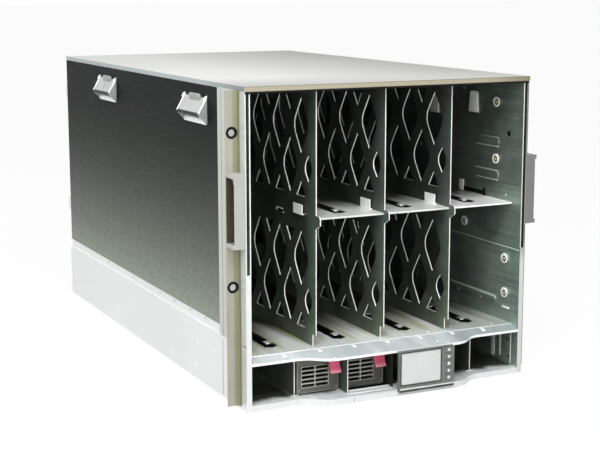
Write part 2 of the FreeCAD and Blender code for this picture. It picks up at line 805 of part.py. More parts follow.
def lens_column(storey):
    """The holes of one storey that repeat along the divider."""
    first = behind(S.lens_first)
    second = first + S.lens_pitch / 2
    upper = S.lens_row_top - S.lens_storey * storey
    lower = upper - S.lens_row_step
    top = upper + S.lens_row_step
    base = lower - S.lens_row_step
    sizes = (S.lens_half_height, S.lens_half_width, S.lens_round)
    return [
        lens_tip(second, top, top - S.lens_cut_top, -1),
        lens(first, upper, *sizes),
        lens(second, lower, *sizes),
        lens_tip(first, base, base + S.lens_cut_base, 1),
    ]


def divider(name, middle):
    edge = behind(S.divider_front)
    notch = edge + S.divider_notch
    step = S.floor_top + S.divider_notch_height
    nose = edge - S.nose_reach
    nose_top = S.shelf_top + S.nose_rise
    bend = nose_top - S.nose_round
    outline = [
        (notch, S.floor_top), (notch, step), (edge, step), (edge, S.shelf_top - S.nose_root),
        (nose, S.shelf_top - S.nose_drop), (nose, bend, (nose + S.nose_round, bend)),
        (nose + S.nose_round, nose_top), (edge, nose_top), (edge, ceiling),
        (midplane_front, ceiling), (midplane_front, S.floor_top),
    ]
    web = (middle - S.sheet / 2, middle + S.sheet / 2)
    body = new_body()
    pad(body, "YZ_Plane", web, [outline])
    small = []
    sizes = (S.small_lens_half_height, S.small_lens_half_width, S.small_lens_round)
    for storey in (0, 1):
        height = S.lens_row_top - S.lens_row_step - S.lens_storey * storey
        small.append(lens(behind(S.small_lens_depth), height, *sizes))
    pocket(body, "YZ_Plane", web, small)
    column = pocket(body, "YZ_Plane", web, lens_column(0) + lens_column(1))
    row = body.newObject("PartDesign::LinearPattern", "lens_rows")
    row.Originals = [column]
    row.Direction = (origin_feature(body, "Y_Axis"), [""])
    bind(row, "Length", S.lens_pitch * (S.lens_count - 1))
    bind(row, "Occurrences", S.lens_count)
    body.Tip = row
    node(body, name)


def bent_tab(middle):
    """A small angle on the left face of a divider, just above the shelf."""
    root = middle - S.sheet / 2
    tip = root - S.tab_reach
    length = (behind(S.tab_front), behind(S.tab_front + S.tab_length))
    foot = block((tip, root), length, (S.shelf_top, S.shelf_top + S.sheet))
    upright = block((tip, tip + S.sheet), length, (S.shelf_top, S.shelf_top + S.tab_height))
    return fuse([foot, upright])


def middle_shelf(name, zone, left, right):
    start = behind(S.shelf_front)
    end = start + S.shelf_length
    body = new_body()
    pad(body, "XY_Plane", (shelf_under, S.shelf_top), [rectangle((left, right), (start, end))])
    lip = rectangle((left, right), (start, start + S.sheet))
    pad(body, "XY_Plane", (S.shelf_top - S.shelf_lip, shelf_under), [lip])
    pocket(body, "XY_Plane", (shelf_under, S.shelf_top), [floor_slot(zone)])
    node(body, name)


def module_bays():
    half_sheet = S.sheet / 2
    tabs = []
    for name, middle in (("left", -S.bay_pitch), ("centre", dim(0)), ("right", S.bay_pitch)):
        divider(f"divider_{name}", middle)
        tabs.append(bent_tab(middle))
    node(bundle(tabs), "shelf_tabs")
    middle_shelf("shelf_centre_left", 1, -S.bay_pitch + half_sheet, -half_sheet)
    middle_shelf("shelf_centre_right", 2, half_sheet, S.bay_pitch - half_sheet)
    middle_shelf("shelf_right", 3, S.bay_pitch + half_sheet, inner)
    places = [(depth, S.body_height - drop) for depth, drop in UPPER_STUDS] + LOWER_STUDS
    studs = []
    for side in (LEFT, RIGHT):
        low, high = mirrored(side, inner - S.stud_reach, inner)
        for depth, height in places:
            studs.append(rod("x", (low, behind(depth), height), S.stud_radius, high - low))
    node(bundle(studs), "wall_studs")


# Power supplies and what carries and feeds them

supply_back = behind(S.supply_front + S.supply_face + S.supply_length)
socket_front = supply_back + S.plug_base + S.running_gap
backplane_front = socket_front + S.blade_length + S.running_gap
supply_middle_height = supply_low + S.supply_height / 2


def bay_middle(bay):
    return S.supply_pitch * (bay - (SUPPLY_BAYS - 1) / 2)


def power_bay_sheets():
    lead = front - S.inner_web_lead
    fall = S.floor_drop * (floor_fold - lead) / (floor_fold - front + S.bulge_reach)
    sheets = []
    for index in range(1, SUPPLY_BAYS):
        middle = S.supply_pitch * (index - SUPPLY_BAYS / 2)
        outer = index in (1, SUPPLY_BAYS - 1)
        edge = [(floor_fold, S.tray_top)] if outer else [(lead, S.tray_top), (lead, floor_under - fall)]
        outline = edge + [
            (floor_fold, floor_under), (backplane_front, floor_under), (backplane_front, S.tray_top),
        ]
        web = new_body()
        pad(web, "YZ_Plane", (middle - S.sheet / 2, middle + S.sheet / 2), [outline])
        foot = block(
            (middle - S.runner_width / 2, middle + S.runner_width / 2),
            (behind(S.supply_front), backplane_front), (S.tray_top, S.tray_top + S.runner_height),
        )
        sheets.append(fuse([web, foot]))
    node(bundle(sheets), "power_bay_dividers")


def power_backplane():
    height = (S.tray_top, floor_under)
    pieces = [block((-inner, inner), (backplane_front, backplane_front + S.board_sheet), height)]
    for bay in range(SUPPLY_BAYS):
        middle = bay_middle(bay)
        reach = S.plug_width / 2
        case = block(
            (middle - reach - S.plug_base, middle + reach + S.plug_base), (socket_front, backplane_front),
            (supply_middle_height - S.plug_height / 2, supply_middle_height + S.plug_height / 2),
        )
        slot_half = S.blade_sheet / 2 + S.running_gap
        slot = block(
            widened((middle - reach, middle + reach), S.running_gap), (socket_front, backplane_front),
            (supply_middle_height - slot_half, supply_middle_height + slot_half),
        )
        pieces.append(cut(case, slot))
    node(fuse(pieces), "power_backplane")


def supply_casing(name, left, right):
    start = behind(S.supply_front + S.supply_face)
    shell = block((left, right), (start, supply_back), (supply_low, supply_top))
    room = block(
        (left + S.supply_wall, right - S.supply_wall), (start, supply_back - S.supply_wall),
        (supply_low + S.supply_wall, supply_top - S.supply_wall),
    )
    node(cut(shell, room), f"{name}_casing")


def latch_pin_place():
    return (behind(S.supply_front) - S.latch_stand, supply_top - S.latch_drop)


def supply_face(name, left, right):
    start = behind(S.supply_front)
    plate = block((left, right), (start, start + S.supply_face), (supply_low, supply_top))
    slots = []
    for column in range(GRILLE_COLUMNS):
        for row in range(GRILLE_ROWS):
            x = left + S.grille_left + S.grille_column_pitch * column
            z = supply_low + S.grille_low + S.grille_row_pitch * row
            slots.append(block(
                (x, x + S.grille_slot_width), (start, start + S.supply_face), (z, z + S.grille_slot_height)
            ))
    pin_y, pin_z = latch_pin_place()
    lug_right = right - S.latch_margin
    lug_left = lug_right - S.latch_width - S.running_gap * 2
    lug_height = (pin_z - S.latch_barrel, pin_z + S.latch_barrel)
    lug_depth = (pin_y - S.latch_barrel, start)
    pieces = [
        cut(plate, bundle(slots)),
        block((lug_right, right), lug_depth, lug_height),
        block((lug_left - S.latch_margin, lug_left), lug_depth, lug_height),
        rod("x", (lug_left, pin_y, pin_z), S.latch_pin, lug_right - lug_left),
    ]
    node(fuse(pieces), f"{name}_face")


def supply_latch(name, right):
    pin_y, pin_z = latch_pin_place()
    barrel = S.latch_barrel
    tip = pin_z - S.latch_length
    pin = (pin_y, pin_z)
    outline = [
        (pin_y + barrel, pin_z, pin), (pin_y, pin_z + barrel, pin), (pin_y - barrel, pin_z),
        (pin_y - S.latch_knee_front, pin_z - S.latch_knee), (pin_y - S.latch_flare, tip),
        (pin_y - S.latch_flare + S.latch_tip, tip - S.latch_tip_drop),
        (pin_y - S.latch_knee_back, pin_z - S.latch_knee),
    ]
    high = right - S.latch_margin - S.running_gap
    span = (high - S.latch_width, high)
    body = new_body()
    pad(body, "YZ_Plane", span, [outline])
    pocket(body, "YZ_Plane", span, [], [(pin_y, pin_z, S.latch_pin + S.pin_gap)])
    node(body, f"{name}_latch")


def supply_board(name, left, right):
    """The inner board with its transformer and capacitor blocks."""
    floor = supply_low + S.supply_wall
    start = behind(S.supply_front + S.supply_face)
    margin = S.supply_wall * 2
    board_top = floor + S.board_sheet
    board = [start + S.supply_length * share for share in BOARD_ENDS]
    pieces = [block((left + margin, right - margin), board, (floor, board_top))]
    for shares in BOARD_BLOCKS:
        depth = [start + S.supply_length * share for share in shares]
        height = (board_top, board_top + S.supply_height / 2)
        pieces.append(block((left + margin * 3, right - margin * 3), depth, height))
    node(fuse(pieces), f"{name}_board")


def supply_plug(name, middle):
    reach = S.plug_width / 2
    base = block(
        (middle - reach, middle + reach), (supply_back, supply_back + S.plug_base),
        (supply_middle_height - S.plug_height / 2, supply_middle_height + S.plug_height / 2),
    )
    blade = block(
        (middle - reach, middle + reach),
        (supply_back + S.plug_base, supply_back + S.plug_base + S.blade_length),
        (supply_middle_height - S.blade_sheet / 2, supply_middle_height + S.blade_sheet / 2),
    )
    node(fuse([base, blade]), f"{name}_plug")


def power_supply(name, bay):
    middle = bay_middle(bay)
    left = middle - S.supply_width / 2
    right = middle + S.supply_width / 2
    supply_casing(name, left, right)
    supply_face(name, left, right)
    supply_latch(name, right)
    supply_board(name, left, right)
    supply_plug(name, middle)


# Display on its rail

tray_edge = front - S.bulge_reach
rail_front = tray_edge + S.rail_inset
rail_back = rail_front + S.rail_width
display_right = S.display_left + S.display_width
display_middle = S.display_left + S.display_width / 2
carriage_front = rail_front - S.running_gap - S.carriage_sheet
display_back = tray_edge - S.running_gap
hinge_depth = display_back - S.display_half_sheet
hinge_height = S.tray_top + S.hinge_rise
display_face = hinge_depth - S.display_half_sheet


def display_rail():
    rail = block(
        (-S.bulge_flat, S.bulge_flat), (rail_front, rail_back), (S.tray_top, S.tray_top + S.rail_height)
    )
    node(rail, "display_rail")


def lug_span():
    return (display_middle - S.lug_width / 2, display_middle + S.lug_width / 2)


def carriage_span():
    reach = S.carriage_length / 2
    return (display_middle - reach, display_middle + reach)


def display_carriage():
    """An inverted U over the rail, with a hinge lug and its pin in front."""
    foot = S.tray_top + S.running_gap
    under = S.tray_top + S.rail_height + S.running_gap
    top = under + S.carriage_sheet
    leg = rail_back + S.running_gap
    back = leg + S.carriage_sheet
    inside = carriage_front + S.carriage_sheet
    channel = [
        (carriage_front, foot), (inside, foot), (inside, under), (leg, under), (leg, foot), (back, foot),
        (back, top), (carriage_front, top),
    ]
    pin = (hinge_depth, hinge_height)
    barrel = S.display_half_sheet
    lug = [
        (carriage_front, hinge_height), (carriage_front, hinge_height + barrel),
        (hinge_depth, hinge_height + barrel, pin), (hinge_depth - barrel, hinge_height, pin),
        (hinge_depth, hinge_height - barrel, pin), (hinge_depth + barrel, hinge_height),
    ]
    body = new_body()
    pad(body, "YZ_Plane", carriage_span(), [channel])
    pad(body, "YZ_Plane", lug_span(), [lug])
    pad(body, "YZ_Plane", carriage_span(), [], [pin + (S.hinge_pin,)])
    node(body, "display_carriage")


def button_places():
    """Left, right, low and high edge of each button, from the top down."""
    right = display_right - S.button_margin
    left = right - S.button_width
    first = S.display_top - S.button_first
    places = []
    for index in range(len(BUTTON_NAMES)):
        middle = first - S.button_pitch * index
        places.append(((left, right), (middle - S.button_height / 2, middle + S.button_height / 2)))
    return places


def display_housing():
    """A slab with a round lower edge about the hinge, a screen recess and a well for each button."""
    half_sheet = S.display_half_sheet
    pin = (hinge_depth, hinge_height)
    outline = [
        (display_back, S.display_top), (display_face, S.display_top),
        (display_face, hinge_height, pin), (hinge_depth, hinge_height - half_sheet, pin),
        (display_back, hinge_height),
    ]
    gap = S.running_gap
    body = new_body()
    pad(body, "YZ_Plane", (S.display_left, display_right), [outline])
    bore = pin + (S.hinge_pin + S.pin_gap,)
    pocket(body, "YZ_Plane", widened(carriage_span(), gap), [], [bore])
    room = widened((-half_sheet, half_sheet), gap)
    lug_room = rectangle(
        (hinge_depth + room[0], hinge_depth + room[1]), (hinge_height + room[0], hinge_height + room[1])
    )
    pocket(body, "YZ_Plane", widened(lug_span(), gap), [lug_room])
    screen = rectangle(screen_span(), (S.screen_low, S.screen_low + S.screen_height))
    pocket(body, "XZ_Plane", (display_face, display_face + S.screen_sheet + S.screen_recess), [screen])
    wells = [rectangle(widened(x, gap), widened(z, gap)) for x, z in button_places()]
    pocket(body, "XZ_Plane", (display_face, display_face + S.button_depth), wells)
    node(body, "display_housing")


def screen_span():
    left = S.display_left + S.screen_margin
    return (left, left + S.screen_width)


def display_screen():
    start = display_face + S.screen_recess
    panel = block(
        screen_span(), (start, start + S.screen_sheet), (S.screen_low, S.screen_low + S.screen_height)
    )
    node(panel, "display_screen")


def display_buttons():
    start = display_face - S.button_stand
    for name, (x, z) in zip(BUTTON_NAMES, button_places()):
        node(block(x, (start, start + S.button_depth), z), name)


# Midplane and rear of the enclosure

def midplane():
    board = block((-inner, inner), (midplane_front, midplane_back), (S.floor_top, ceiling))
    windows = []
    connectors = []
    for zone in range(MODULE_ZONES):
        middle = zone_middle(zone)
        for low, high in ((S.floor_top, shelf_under), (S.shelf_top, ceiling)):
            centre = (low + high) / 2
            connectors.append(block(
                (middle - S.connector_width / 2, middle + S.connector_width / 2),
                (midplane_front - S.connector_reach, midplane_front),
                (centre - S.connector_height / 2, centre + S.connector_height / 2),
            ))
            for side in (LEFT, RIGHT):
                window_middle = middle + S.window_offset * side
                windows.append(block(
                    (window_middle - S.connector_width / 2, window_middle + S.connector_width / 2),
                    (midplane_front, midplane_back),
                    (centre - S.connector_height / 2, centre + S.connector_height / 2),
                ))
    node(cut(board, bundle(windows)), "midplane_board")
    node(bundle(connectors), "midplane_connectors")


upper_fan_base = ceiling - S.fan_bay_height
lower_shelf = S.floor_top + S.fan_bay_height
upper_shelf = upper_fan_base - S.sheet
fan_back = rear_cover
fan_front = fan_back - S.fan_length
FAN_BASES = {"lower": S.floor_top, "upper": upper_fan_base}


def rear_shelves():
    length = (midplane_back, rear_cover)
    plates = [
        block((-inner, inner), length, (lower_shelf, lower_shelf + S.sheet)),
        block((-inner, inner), length, (upper_shelf, upper_fan_base)),
        block((-S.sheet / 2, S.sheet / 2), length, (lower_shelf + S.sheet, upper_shelf)),
    ]
    node(bundle(plates), "rear_shelves")


def fan_line(index):
    """The middle of the sheet between two fan bays, counted from the left."""
    if index <= FAN_BAYS // 2:
        return -inner + S.fan_pitch * index
    return inner - S.fan_pitch * (FAN_BAYS - index)


def fan_bays():
    """The sheets between the fan bays; returns the covers of the bays with no fan."""
    sheets = []
    blanks = []
    for base in FAN_BASES.values():
        height = (base, base + S.fan_bay_height)
        for index in range(1, FAN_BAYS):
            middle = fan_line(index)
            sheets.append(block(
                (middle - S.sheet / 2, middle + S.sheet / 2),
                (rear_cover - S.fan_bay_length, rear_cover), height,
            ))
        for index in range(1, FAN_BAYS - 1):
            blanks.append(block(
                (fan_line(index) + S.sheet / 2, fan_line(index + 1) - S.sheet / 2),
                (rear_cover - S.sheet, rear_cover), (base, base + S.fan_bay_height - S.cover_seam),
            ))
    node(bundle(sheets), "fan_bay_dividers")
    return blanks


def switch_bay_blanks():
    """Covers of the empty switch bays at the rear."""
    low = lower_shelf + S.sheet
    step = (upper_shelf - low) / SWITCH_ROWS
    plates = []
    for side in (LEFT, RIGHT):
        for index in range(SWITCH_ROWS):
            base = low + step * index
            plates.append(block(
                mirrored(side, S.sheet / 2, inner), (rear_cover - S.sheet, rear_cover),
                (base, base + step - S.cover_seam),
            ))
    return plates


def fan_middle(side, base):
    return ((inner - S.fan_width / 2) * side, base + S.fan_width / 2)


def fan_housing(side, base):
    """A square duct with a motor boss on a cross of bars at its front."""
    x, z = fan_middle(side, base)
    reach = S.fan_width / 2
    bar = S.spider_bar / 2
    case = block((x - reach, x + reach), (fan_front, fan_back), (z - reach, z + reach))
    duct = cut(case, rod("y", (x, fan_front, z), S.fan_bore, S.fan_length))
    depth = (fan_front, fan_front + S.spider_bar)
    pieces = [
        duct,
        block((x - S.fan_bore, x + S.fan_bore), depth, (z - bar, z + bar)),
        block((x - bar, x + bar), depth, (z - S.fan_bore, z + S.fan_bore)),
        rod("y", (x, fan_front, z), S.fan_hub, S.fan_motor_length),
    ]
    shaft = rod("y", (x, fan_front, z), S.fan_shaft + S.pin_gap, S.fan_motor_length)
    return cut(fuse(pieces), shaft)


def fan_rotor(name, side, base):
    """A hub with slanted blades, turning on its own shaft."""
    start = S.fan_motor_length + S.running_gap
    end = start + S.fan_hub_length
    edge = S.fan_blade / 2
    lead = S.fan_blade_sweep / 2
    blade = [
        (-lead - edge, start + edge), (-lead + edge, start + edge),
        (lead + edge, end - edge), (lead - edge, end - edge),
    ]
    body = new_body()
    pad(body, "XZ_Plane", (start, end), [], [(dim(0), dim(0), S.fan_hub)])
    pad(body, "XZ_Plane", (S.running_gap, start), [], [(dim(0), dim(0), S.fan_shaft)])
    vane = pad(body, "XY_Plane", (S.fan_hub / 2, S.fan_tip), [blade])
    ring = body.newObject("PartDesign::PolarPattern", "blades")
    ring.Originals = [vane]
    ring.Axis = (origin_feature(body, "Y_Axis"), [""])
    ring.Angle = 360
    bind(ring, "Occurrences", S.fan_blade_count)
    body.Tip = ring
    x, z = fan_middle(side, base)
    place(body, x, fan_front, z)
    node(body, name)


def fans():
    housings = []
    for row, base in FAN_BASES.items():
        for side in (LEFT, RIGHT):
            housings.append(fan_housing(side, base))
            fan_rotor(f"fan_rotor_{row}_{SIDE_NAMES[side]}", side, base)
    node(bundle(housings), "fan_housings")


def power_inlets():
    panel_span = (rear_cover - S.sheet, rear_cover)
    panel = block((-inner, inner), panel_span, (S.tray_top, floor_under))
    holes = []
    inlets = []
    height = (S.tray_top + floor_under) / 2
    for bay in range(SUPPLY_BAYS):
        middle = bay_middle(bay)
        x = (middle - S.inlet_width / 2, middle + S.inlet_width / 2)
        z = (height - S.inlet_height / 2, height + S.inlet_height / 2)
        holes.append(block(x, panel_span, z))
        mouth = rear_cover + S.inlet_flange
        case = fuse([
            block(x, (rear_cover - S.inlet_length, mouth), z),
            block(widened(x, S.inlet_flange), (rear_cover, mouth), widened(z, S.inlet_flange)),
        ])
        floor = mouth - S.inlet_cavity
        room = block(widened(x, -S.inlet_wall), (floor, mouth), widened(z, -S.inlet_wall))
        pins = [
            block(
                (middle + S.inlet_pin_pitch * step - S.inlet_pin_sheet / 2,
                 middle + S.inlet_pin_pitch * step + S.inlet_pin_sheet / 2),
                (floor, floor + S.inlet_pin_length), (height - S.inlet_pin / 2, height + S.inlet_pin / 2),
            )
            for step in (-1, 0, 1)
        ]
        inlets.append(fuse([cut(case, room)] + pins))
    node(cut(panel, bundle(holes)), "power_inlet_panel")
    node(bundle(inlets), "power_inlets")


def build():
    for side in (LEFT, RIGHT):
        side_wall(side)
        inner_wall(side)
        side_skin(side)
        side_panel(side)
        rack_ear(side)
        front_grip(side)
        lifting_brackets(side)
    top_cover()
    decks()
    ear_washers()
    module_bays()
    power_bay_sheets()
    power_backplane()
    power_supply("supply_a", 1)
    power_supply("supply_b", 2)
    display_rail()
    display_carriage()
    display_housing()
    display_screen()
    display_buttons()
    midplane()
    rear_shelves()
    node(bundle(fan_bays() + switch_bay_blanks()), "rear_blanks")
    fans()
    power_inlets()
    doc.recompute()


def check():
    """Stop if an object failed, a shape is not sound, or a pocket removed nothing."""
    for thing in doc.Objects:
        if "Invalid" in thing.State or "Error" in thing.State:
            raise RuntimeError(f"{thing.Label} failed: {thing.State}")
        if thing.TypeId == "PartDesign::Pocket":
            if thing.Shape.Volume >= thing.BaseFeature.Shape.Volume - NEARLY_ZERO:
                raise RuntimeError(f"{thing.Label} removed nothing")
    for thing in nodes:
        if thing.Shape.isNull() or not thing.Shape.isValid() or not thing.Shape.Solids:
            raise RuntimeError(f"{thing.Label} is not a sound solid")


build()
check()
os.makedirs("parts", exist_ok=True)
for thing in nodes:
    thing.Shape.exportStep(f"parts/{thing.Label}.step")
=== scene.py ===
import math
from functools import cached_property

import bmesh
import bpy
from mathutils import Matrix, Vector


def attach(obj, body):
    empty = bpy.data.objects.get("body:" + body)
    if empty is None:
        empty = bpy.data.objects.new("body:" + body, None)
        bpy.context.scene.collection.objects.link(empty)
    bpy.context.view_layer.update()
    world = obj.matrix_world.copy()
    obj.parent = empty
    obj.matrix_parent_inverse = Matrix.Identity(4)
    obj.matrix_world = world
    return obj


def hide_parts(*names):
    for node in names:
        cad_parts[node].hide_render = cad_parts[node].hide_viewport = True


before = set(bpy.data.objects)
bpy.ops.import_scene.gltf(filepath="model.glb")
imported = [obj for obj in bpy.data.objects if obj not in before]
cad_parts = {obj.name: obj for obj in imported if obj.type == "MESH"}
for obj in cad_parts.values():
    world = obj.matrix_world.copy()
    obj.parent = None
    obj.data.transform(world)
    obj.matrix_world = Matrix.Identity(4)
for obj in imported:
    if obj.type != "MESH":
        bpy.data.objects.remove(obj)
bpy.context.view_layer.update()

bl_info = {
    "name": "Rack Enclosure Dressing",
    "version": (1, 0, 0),
    "blender": (4, 5, 0),
    "location": "View3D > Sidebar > Rack",
    "description": "Finishes and fittings for a ten-unit rack enclosure for plug-in modules",
    "category": "Object",
}

MM = 0.001
X, Y, Z = range(3)
OUTWARD, FORWARD, BACKWARD = (1, 0, 0), (0, -1, 0), (0, 1, 0)
UP, DOWN = (0, 0, 1), (0, 0, -1)

# Limits of the modelling helpers
ALIGNED = 0.9
SHARP, SMOOTH, FLAT = math.radians(40), math.radians(35), math.radians(1)
MERGE, WELD = 0.00001, 0.000002

# Places in millimetres, in the frame of the solids
INNER = 216.0
WALL = 223.5
FRONT = -406.5
FLOOR_TOP = 72.0
SHELF_TOP = 255.0
TRAY_TOP = 8.0
EAR_FACE, EAR_LEG = -382.5, 225.5
REAR_FACE = 393.5
PANEL, SKIN = 226.5, 224.5
FOLD, FLOOR_DROP = -388.5, 5.5
ZONE_PITCH, DIVIDER_SHEET = 108.0, 1.5
BULGE_REACH, BULGE_FLAT, BULGE_ROOT = 23.0, 95.0, 148.0
NOSE = FRONT - BULGE_REACH
SUPPLIES = {"a": (-141.0, -75.0), "b": (-69.0, -3.0)}
SUPPLY_FACE, SUPPLY_LOW, SUPPLY_HIGH = -389.5, 9.5, 59.0
BRACKETS = ((-279.0, -194.0), (119.5, 204.5))
BRACKET_REACH = 13.0
GRIP_LOW, GRIP_HIGH, GRIP_MIDDLE, GRIP_HALF = 232.2, 320.8, 276.5, 44.4
FAN_X, FAN_Z = 173.5, {"lower": 114.5, "upper": 393.0}
DISPLAY_FACE = -436.6
BUTTON_X = (73.0, 82.4)
BUTTONS = {"up": 60.0, "down": 49.8, "select": 39.6, "right": 29.4, "left": 19.2}


# Values that a user would change

def colour_value(name, description, default):
    return bpy.props.FloatVectorProperty(
        name=name, description=description, subtype="COLOR", size=3, default=default, min=0, max=1)


def length_value(name, description, default):
    return bpy.props.FloatProperty(name=name, description=description, default=default * MM, unit="LENGTH")


def power_value(name, description, default):
    return bpy.props.FloatProperty(name=name, description=description, default=default, unit="POWER")


class RackFinishes(bpy.types.PropertyGroup):
    zinc: colour_value("Zinc", "Dark zinc of the dividers", (0.036, 0.042, 0.037))
    zinc_wall: colour_value("Wall Zinc", "Brushed zinc of the inner walls", (0.185, 0.222, 0.194))
    cut_edge: colour_value("Cut Edge", "Bright cut edges of the dividers and walls", (0.78, 0.78, 0.75))
    bare: colour_value("Bare Steel", "Side walls and lower panels", (0.73, 0.75, 0.74))
    deck: colour_value("Decks", "Bay floor", (0.76, 0.775, 0.75))
    shelf: colour_value("Shelves", "Middle shelves", (0.95, 0.95, 0.95))
    cover: colour_value("Cover", "Brushed top cover", (0.6, 0.6, 0.58))
    # The tan of the lip is a painted reflection on the cover's steel
    lip: colour_value("Cover Lip", "Tan front lip of the cover", (0.335, 0.308, 0.228))
    skin: colour_value("Skin", "Dark side skins", (0.0075, 0.009, 0.0083))
    # The beige of the ears is a painted reflection on their steel
    ear: colour_value("Ears", "Rack ears", (0.33, 0.33, 0.268))
    latch: colour_value("Latches", "Release latches of the supplies", (0.8, 0.11, 0.215))
    pane: colour_value("Screen", "Pane of the display", (0.5, 0.52, 0.51))


class RackFittings(bpy.types.PropertyGroup):
    rivet_radius: length_value("Rivet Radius", "Flat rivets of the panels", 2.0)
    screw_radius: length_value("Screw Radius", "Screws at the rear", 3.0)
    soft_edge: length_value("Soft Edge", "Rounding of moulded and folded edges", 0.6)


class RackStage(bpy.types.PropertyGroup):
    key_power: power_value("Key Lamp", "Soft lamp in front, above and to the left", 20.0)
    front_power: power_value("Front Lamp", "Lamp above the front that reaches into the bays", 34.0)
    fill_power: power_value("Fill Lamp", "Weak lamp beside the camera", 7.0)
    rear_power: power_value("Rear Lamp", "Soft lamp behind", 20.0)
    sky_strength: bpy.props.FloatProperty(
        name="Sky", description="Even light from all round", default=0.4, min=0, max=1)


# Modelling by hand

def clear():
    if bpy.context.mode != "OBJECT":
        bpy.ops.object.mode_set(mode="OBJECT")
    bpy.ops.object.select_all(action="DESELECT")


def take(piece):
    clear()
    piece.select_set(True)
    bpy.context.view_layer.objects.active = piece


def metres(place):
    return [v * MM for v in place]


def open_new(name):
    """Names the new primitive, puts its place into its mesh and opens it."""
    piece = bpy.context.object
    bpy.ops.object.transform_apply(location=True, rotation=True, scale=True)
    piece.name = name
    piece.data.name = name
    bpy.ops.object.mode_set(mode="EDIT")
    return piece


def block(name, x, y, z):
    """A cube over three spans in millimetres, open in edit mode."""
    clear()
    spans = [sorted(span) for span in (x, y, z)]
    bpy.ops.mesh.primitive_cube_add(
        size=1, location=[(low + high) / 2 * MM for low, high in spans],
        scale=[(high - low) * MM for low, high in spans])
    return open_new(name)


def round_bar(name, centre, radius, length, axis, sides=16):
    """A cylinder in millimetres, open in edit mode."""
    clear()
    tilt = ((0, math.pi / 2, 0), (math.pi / 2, 0, 0), (0, 0, 0))[axis]
    bpy.ops.mesh.primitive_cylinder_add(
        vertices=sides, radius=radius * MM, depth=length * MM, location=metres(centre), rotation=tilt)
    return open_new(name)


def section(name, centre, radius, sides=10):
    """A filled circle that faces along X, open in edit mode, for a sweep."""
    clear()
    bpy.ops.mesh.primitive_circle_add(
        vertices=sides, radius=radius * MM, fill_type="NGON", location=metres(centre),
        rotation=(0, math.pi / 2, 0))
    return open_new(name)


def open_mesh(kind):
    bpy.ops.mesh.select_mode(type=kind)
    bpy.ops.mesh.select_all(action="DESELECT")
    data = bpy.context.object.data
    return data, bmesh.from_edit_mesh(data)


def pick_faces(test):
    """Selects the faces whose middle, in millimetres, and normal pass a test."""
    data, mesh = open_mesh("FACE")
    for face in mesh.faces:
        face.select_set(bool(test(face.calc_center_median() / MM, face.normal)))
    bmesh.update_edit_mesh(data)


def pick_edges(test):
    """Selects the edges whose middle, in millimetres, and direction pass a test."""
    data, mesh = open_mesh("EDGE")
    for edge in mesh.edges:
        a, b = (vert.co for vert in edge.verts)
        edge.select_set(bool(test((a + b) / 2 / MM, (b - a).normalized())))
    bmesh.update_edit_mesh(data)


def facing(direction):
    goal = Vector(direction)
    return lambda middle, normal: normal.dot(goal) > ALIGNED


def along(axis):
    return lambda middle, run: abs(run[axis]) > ALIGNED


def pull(x, y, z):
    """Extrudes what is selected by an offset in millimetres."""
    bpy.ops.mesh.extrude_region_move(TRANSFORM_OT_translate={"value": (x * MM, y * MM, z * MM)})


def shift(x, y, z):
    bpy.ops.transform.translate(value=(x * MM, y * MM, z * MM))


def soften(width, segments=2):
    """Bevels the selected edges by a width in millimetres."""
    bpy.ops.mesh.bevel(offset=width * MM, segments=segments, affect="EDGES", clamp_overlap=True)


def hollow(direction, rim):
    """Turns a plate that faces a direction into an open frame of a rim's width."""
    back = [-v for v in direction]
    for way in (direction, back):
        pick_faces(facing(way))
        bpy.ops.mesh.inset(thickness=rim * MM)
        bpy.ops.mesh.delete(type="FACE")
    data, mesh = open_mesh("EDGE")
    for edge in mesh.edges:
        edge.select_set(edge.is_boundary)
    bmesh.update_edit_mesh(data)
    bpy.ops.mesh.bridge_edge_loops()


def soft_edges(piece, width):
    soft = piece.modifiers.new("soft_edges", "BEVEL")
    soft.width = width
    soft.segments = 2
    soft.limit_method = "ANGLE"
    soft.angle_limit = SHARP
    return soft


def close(piece, edge=0.0):
    """Leaves edit mode with clean normals, soft edges in millimetres and smooth shading."""
    bpy.ops.mesh.select_all(action="SELECT")
    bpy.ops.mesh.remove_doubles(threshold=MERGE)
    bpy.ops.mesh.normals_make_consistent(inside=False)
    take(piece)
    if edge:
        bpy.ops.object.modifier_apply(modifier=soft_edges(piece, edge * MM).name)
    bpy.ops.object.shade_smooth_by_angle(angle=SMOOTH)
    return piece


def copy_to(piece, x, y, z):
    """A copy with its own mesh, moved by an offset in millimetres."""
    take(piece)
    bpy.ops.object.duplicate(linked=False)
    shift(x, y, z)
    bpy.ops.object.transform_apply(location=True, rotation=True, scale=True)
    return bpy.context.object


def mirror_copy(piece):
    """The left twin of a right piece, mirrored across the middle plane."""
    name = piece.name.replace("right", "left")
    take(piece)
    bpy.ops.object.duplicate(linked=False)
    twin = bpy.context.object
    twin.name = name
    twin.data.name = name
    bpy.ops.object.mode_set(mode="EDIT")
    bpy.ops.mesh.select_all(action="SELECT")
    bpy.ops.transform.mirror(
        constraint_axis=(True, False, False), orient_type="GLOBAL", center_override=(0, 0, 0))
    bpy.ops.mesh.normals_make_consistent(inside=False)
    clear()
    return twin


def joined(pieces):
    clear()
    for piece in pieces:
        piece.select_set(True)
    bpy.context.view_layer.objects.active = pieces[0]
    if len(pieces) > 1:
        bpy.ops.object.join()
    return pieces[0]


def repeated(piece, offsets):
    """Joins copies of a piece, at offsets in millimetres, to it."""
    return joined([piece] + [copy_to(piece, *offset) for offset in offsets])


def repeated_at(piece, places):
    """Joins copies at further places in millimetres to a piece that stands at the first."""
    first = places[0]
    return repeated(piece, [[b - a for a, b in zip(first, place)] for place in places[1:]])


def turn(angle, axis, centre):
    """Turns the whole open piece about a centre in millimetres."""
    bpy.ops.mesh.select_all(action="SELECT")
    bpy.ops.transform.rotate(value=angle, orient_axis="XYZ"[axis], center_override=metres(centre))


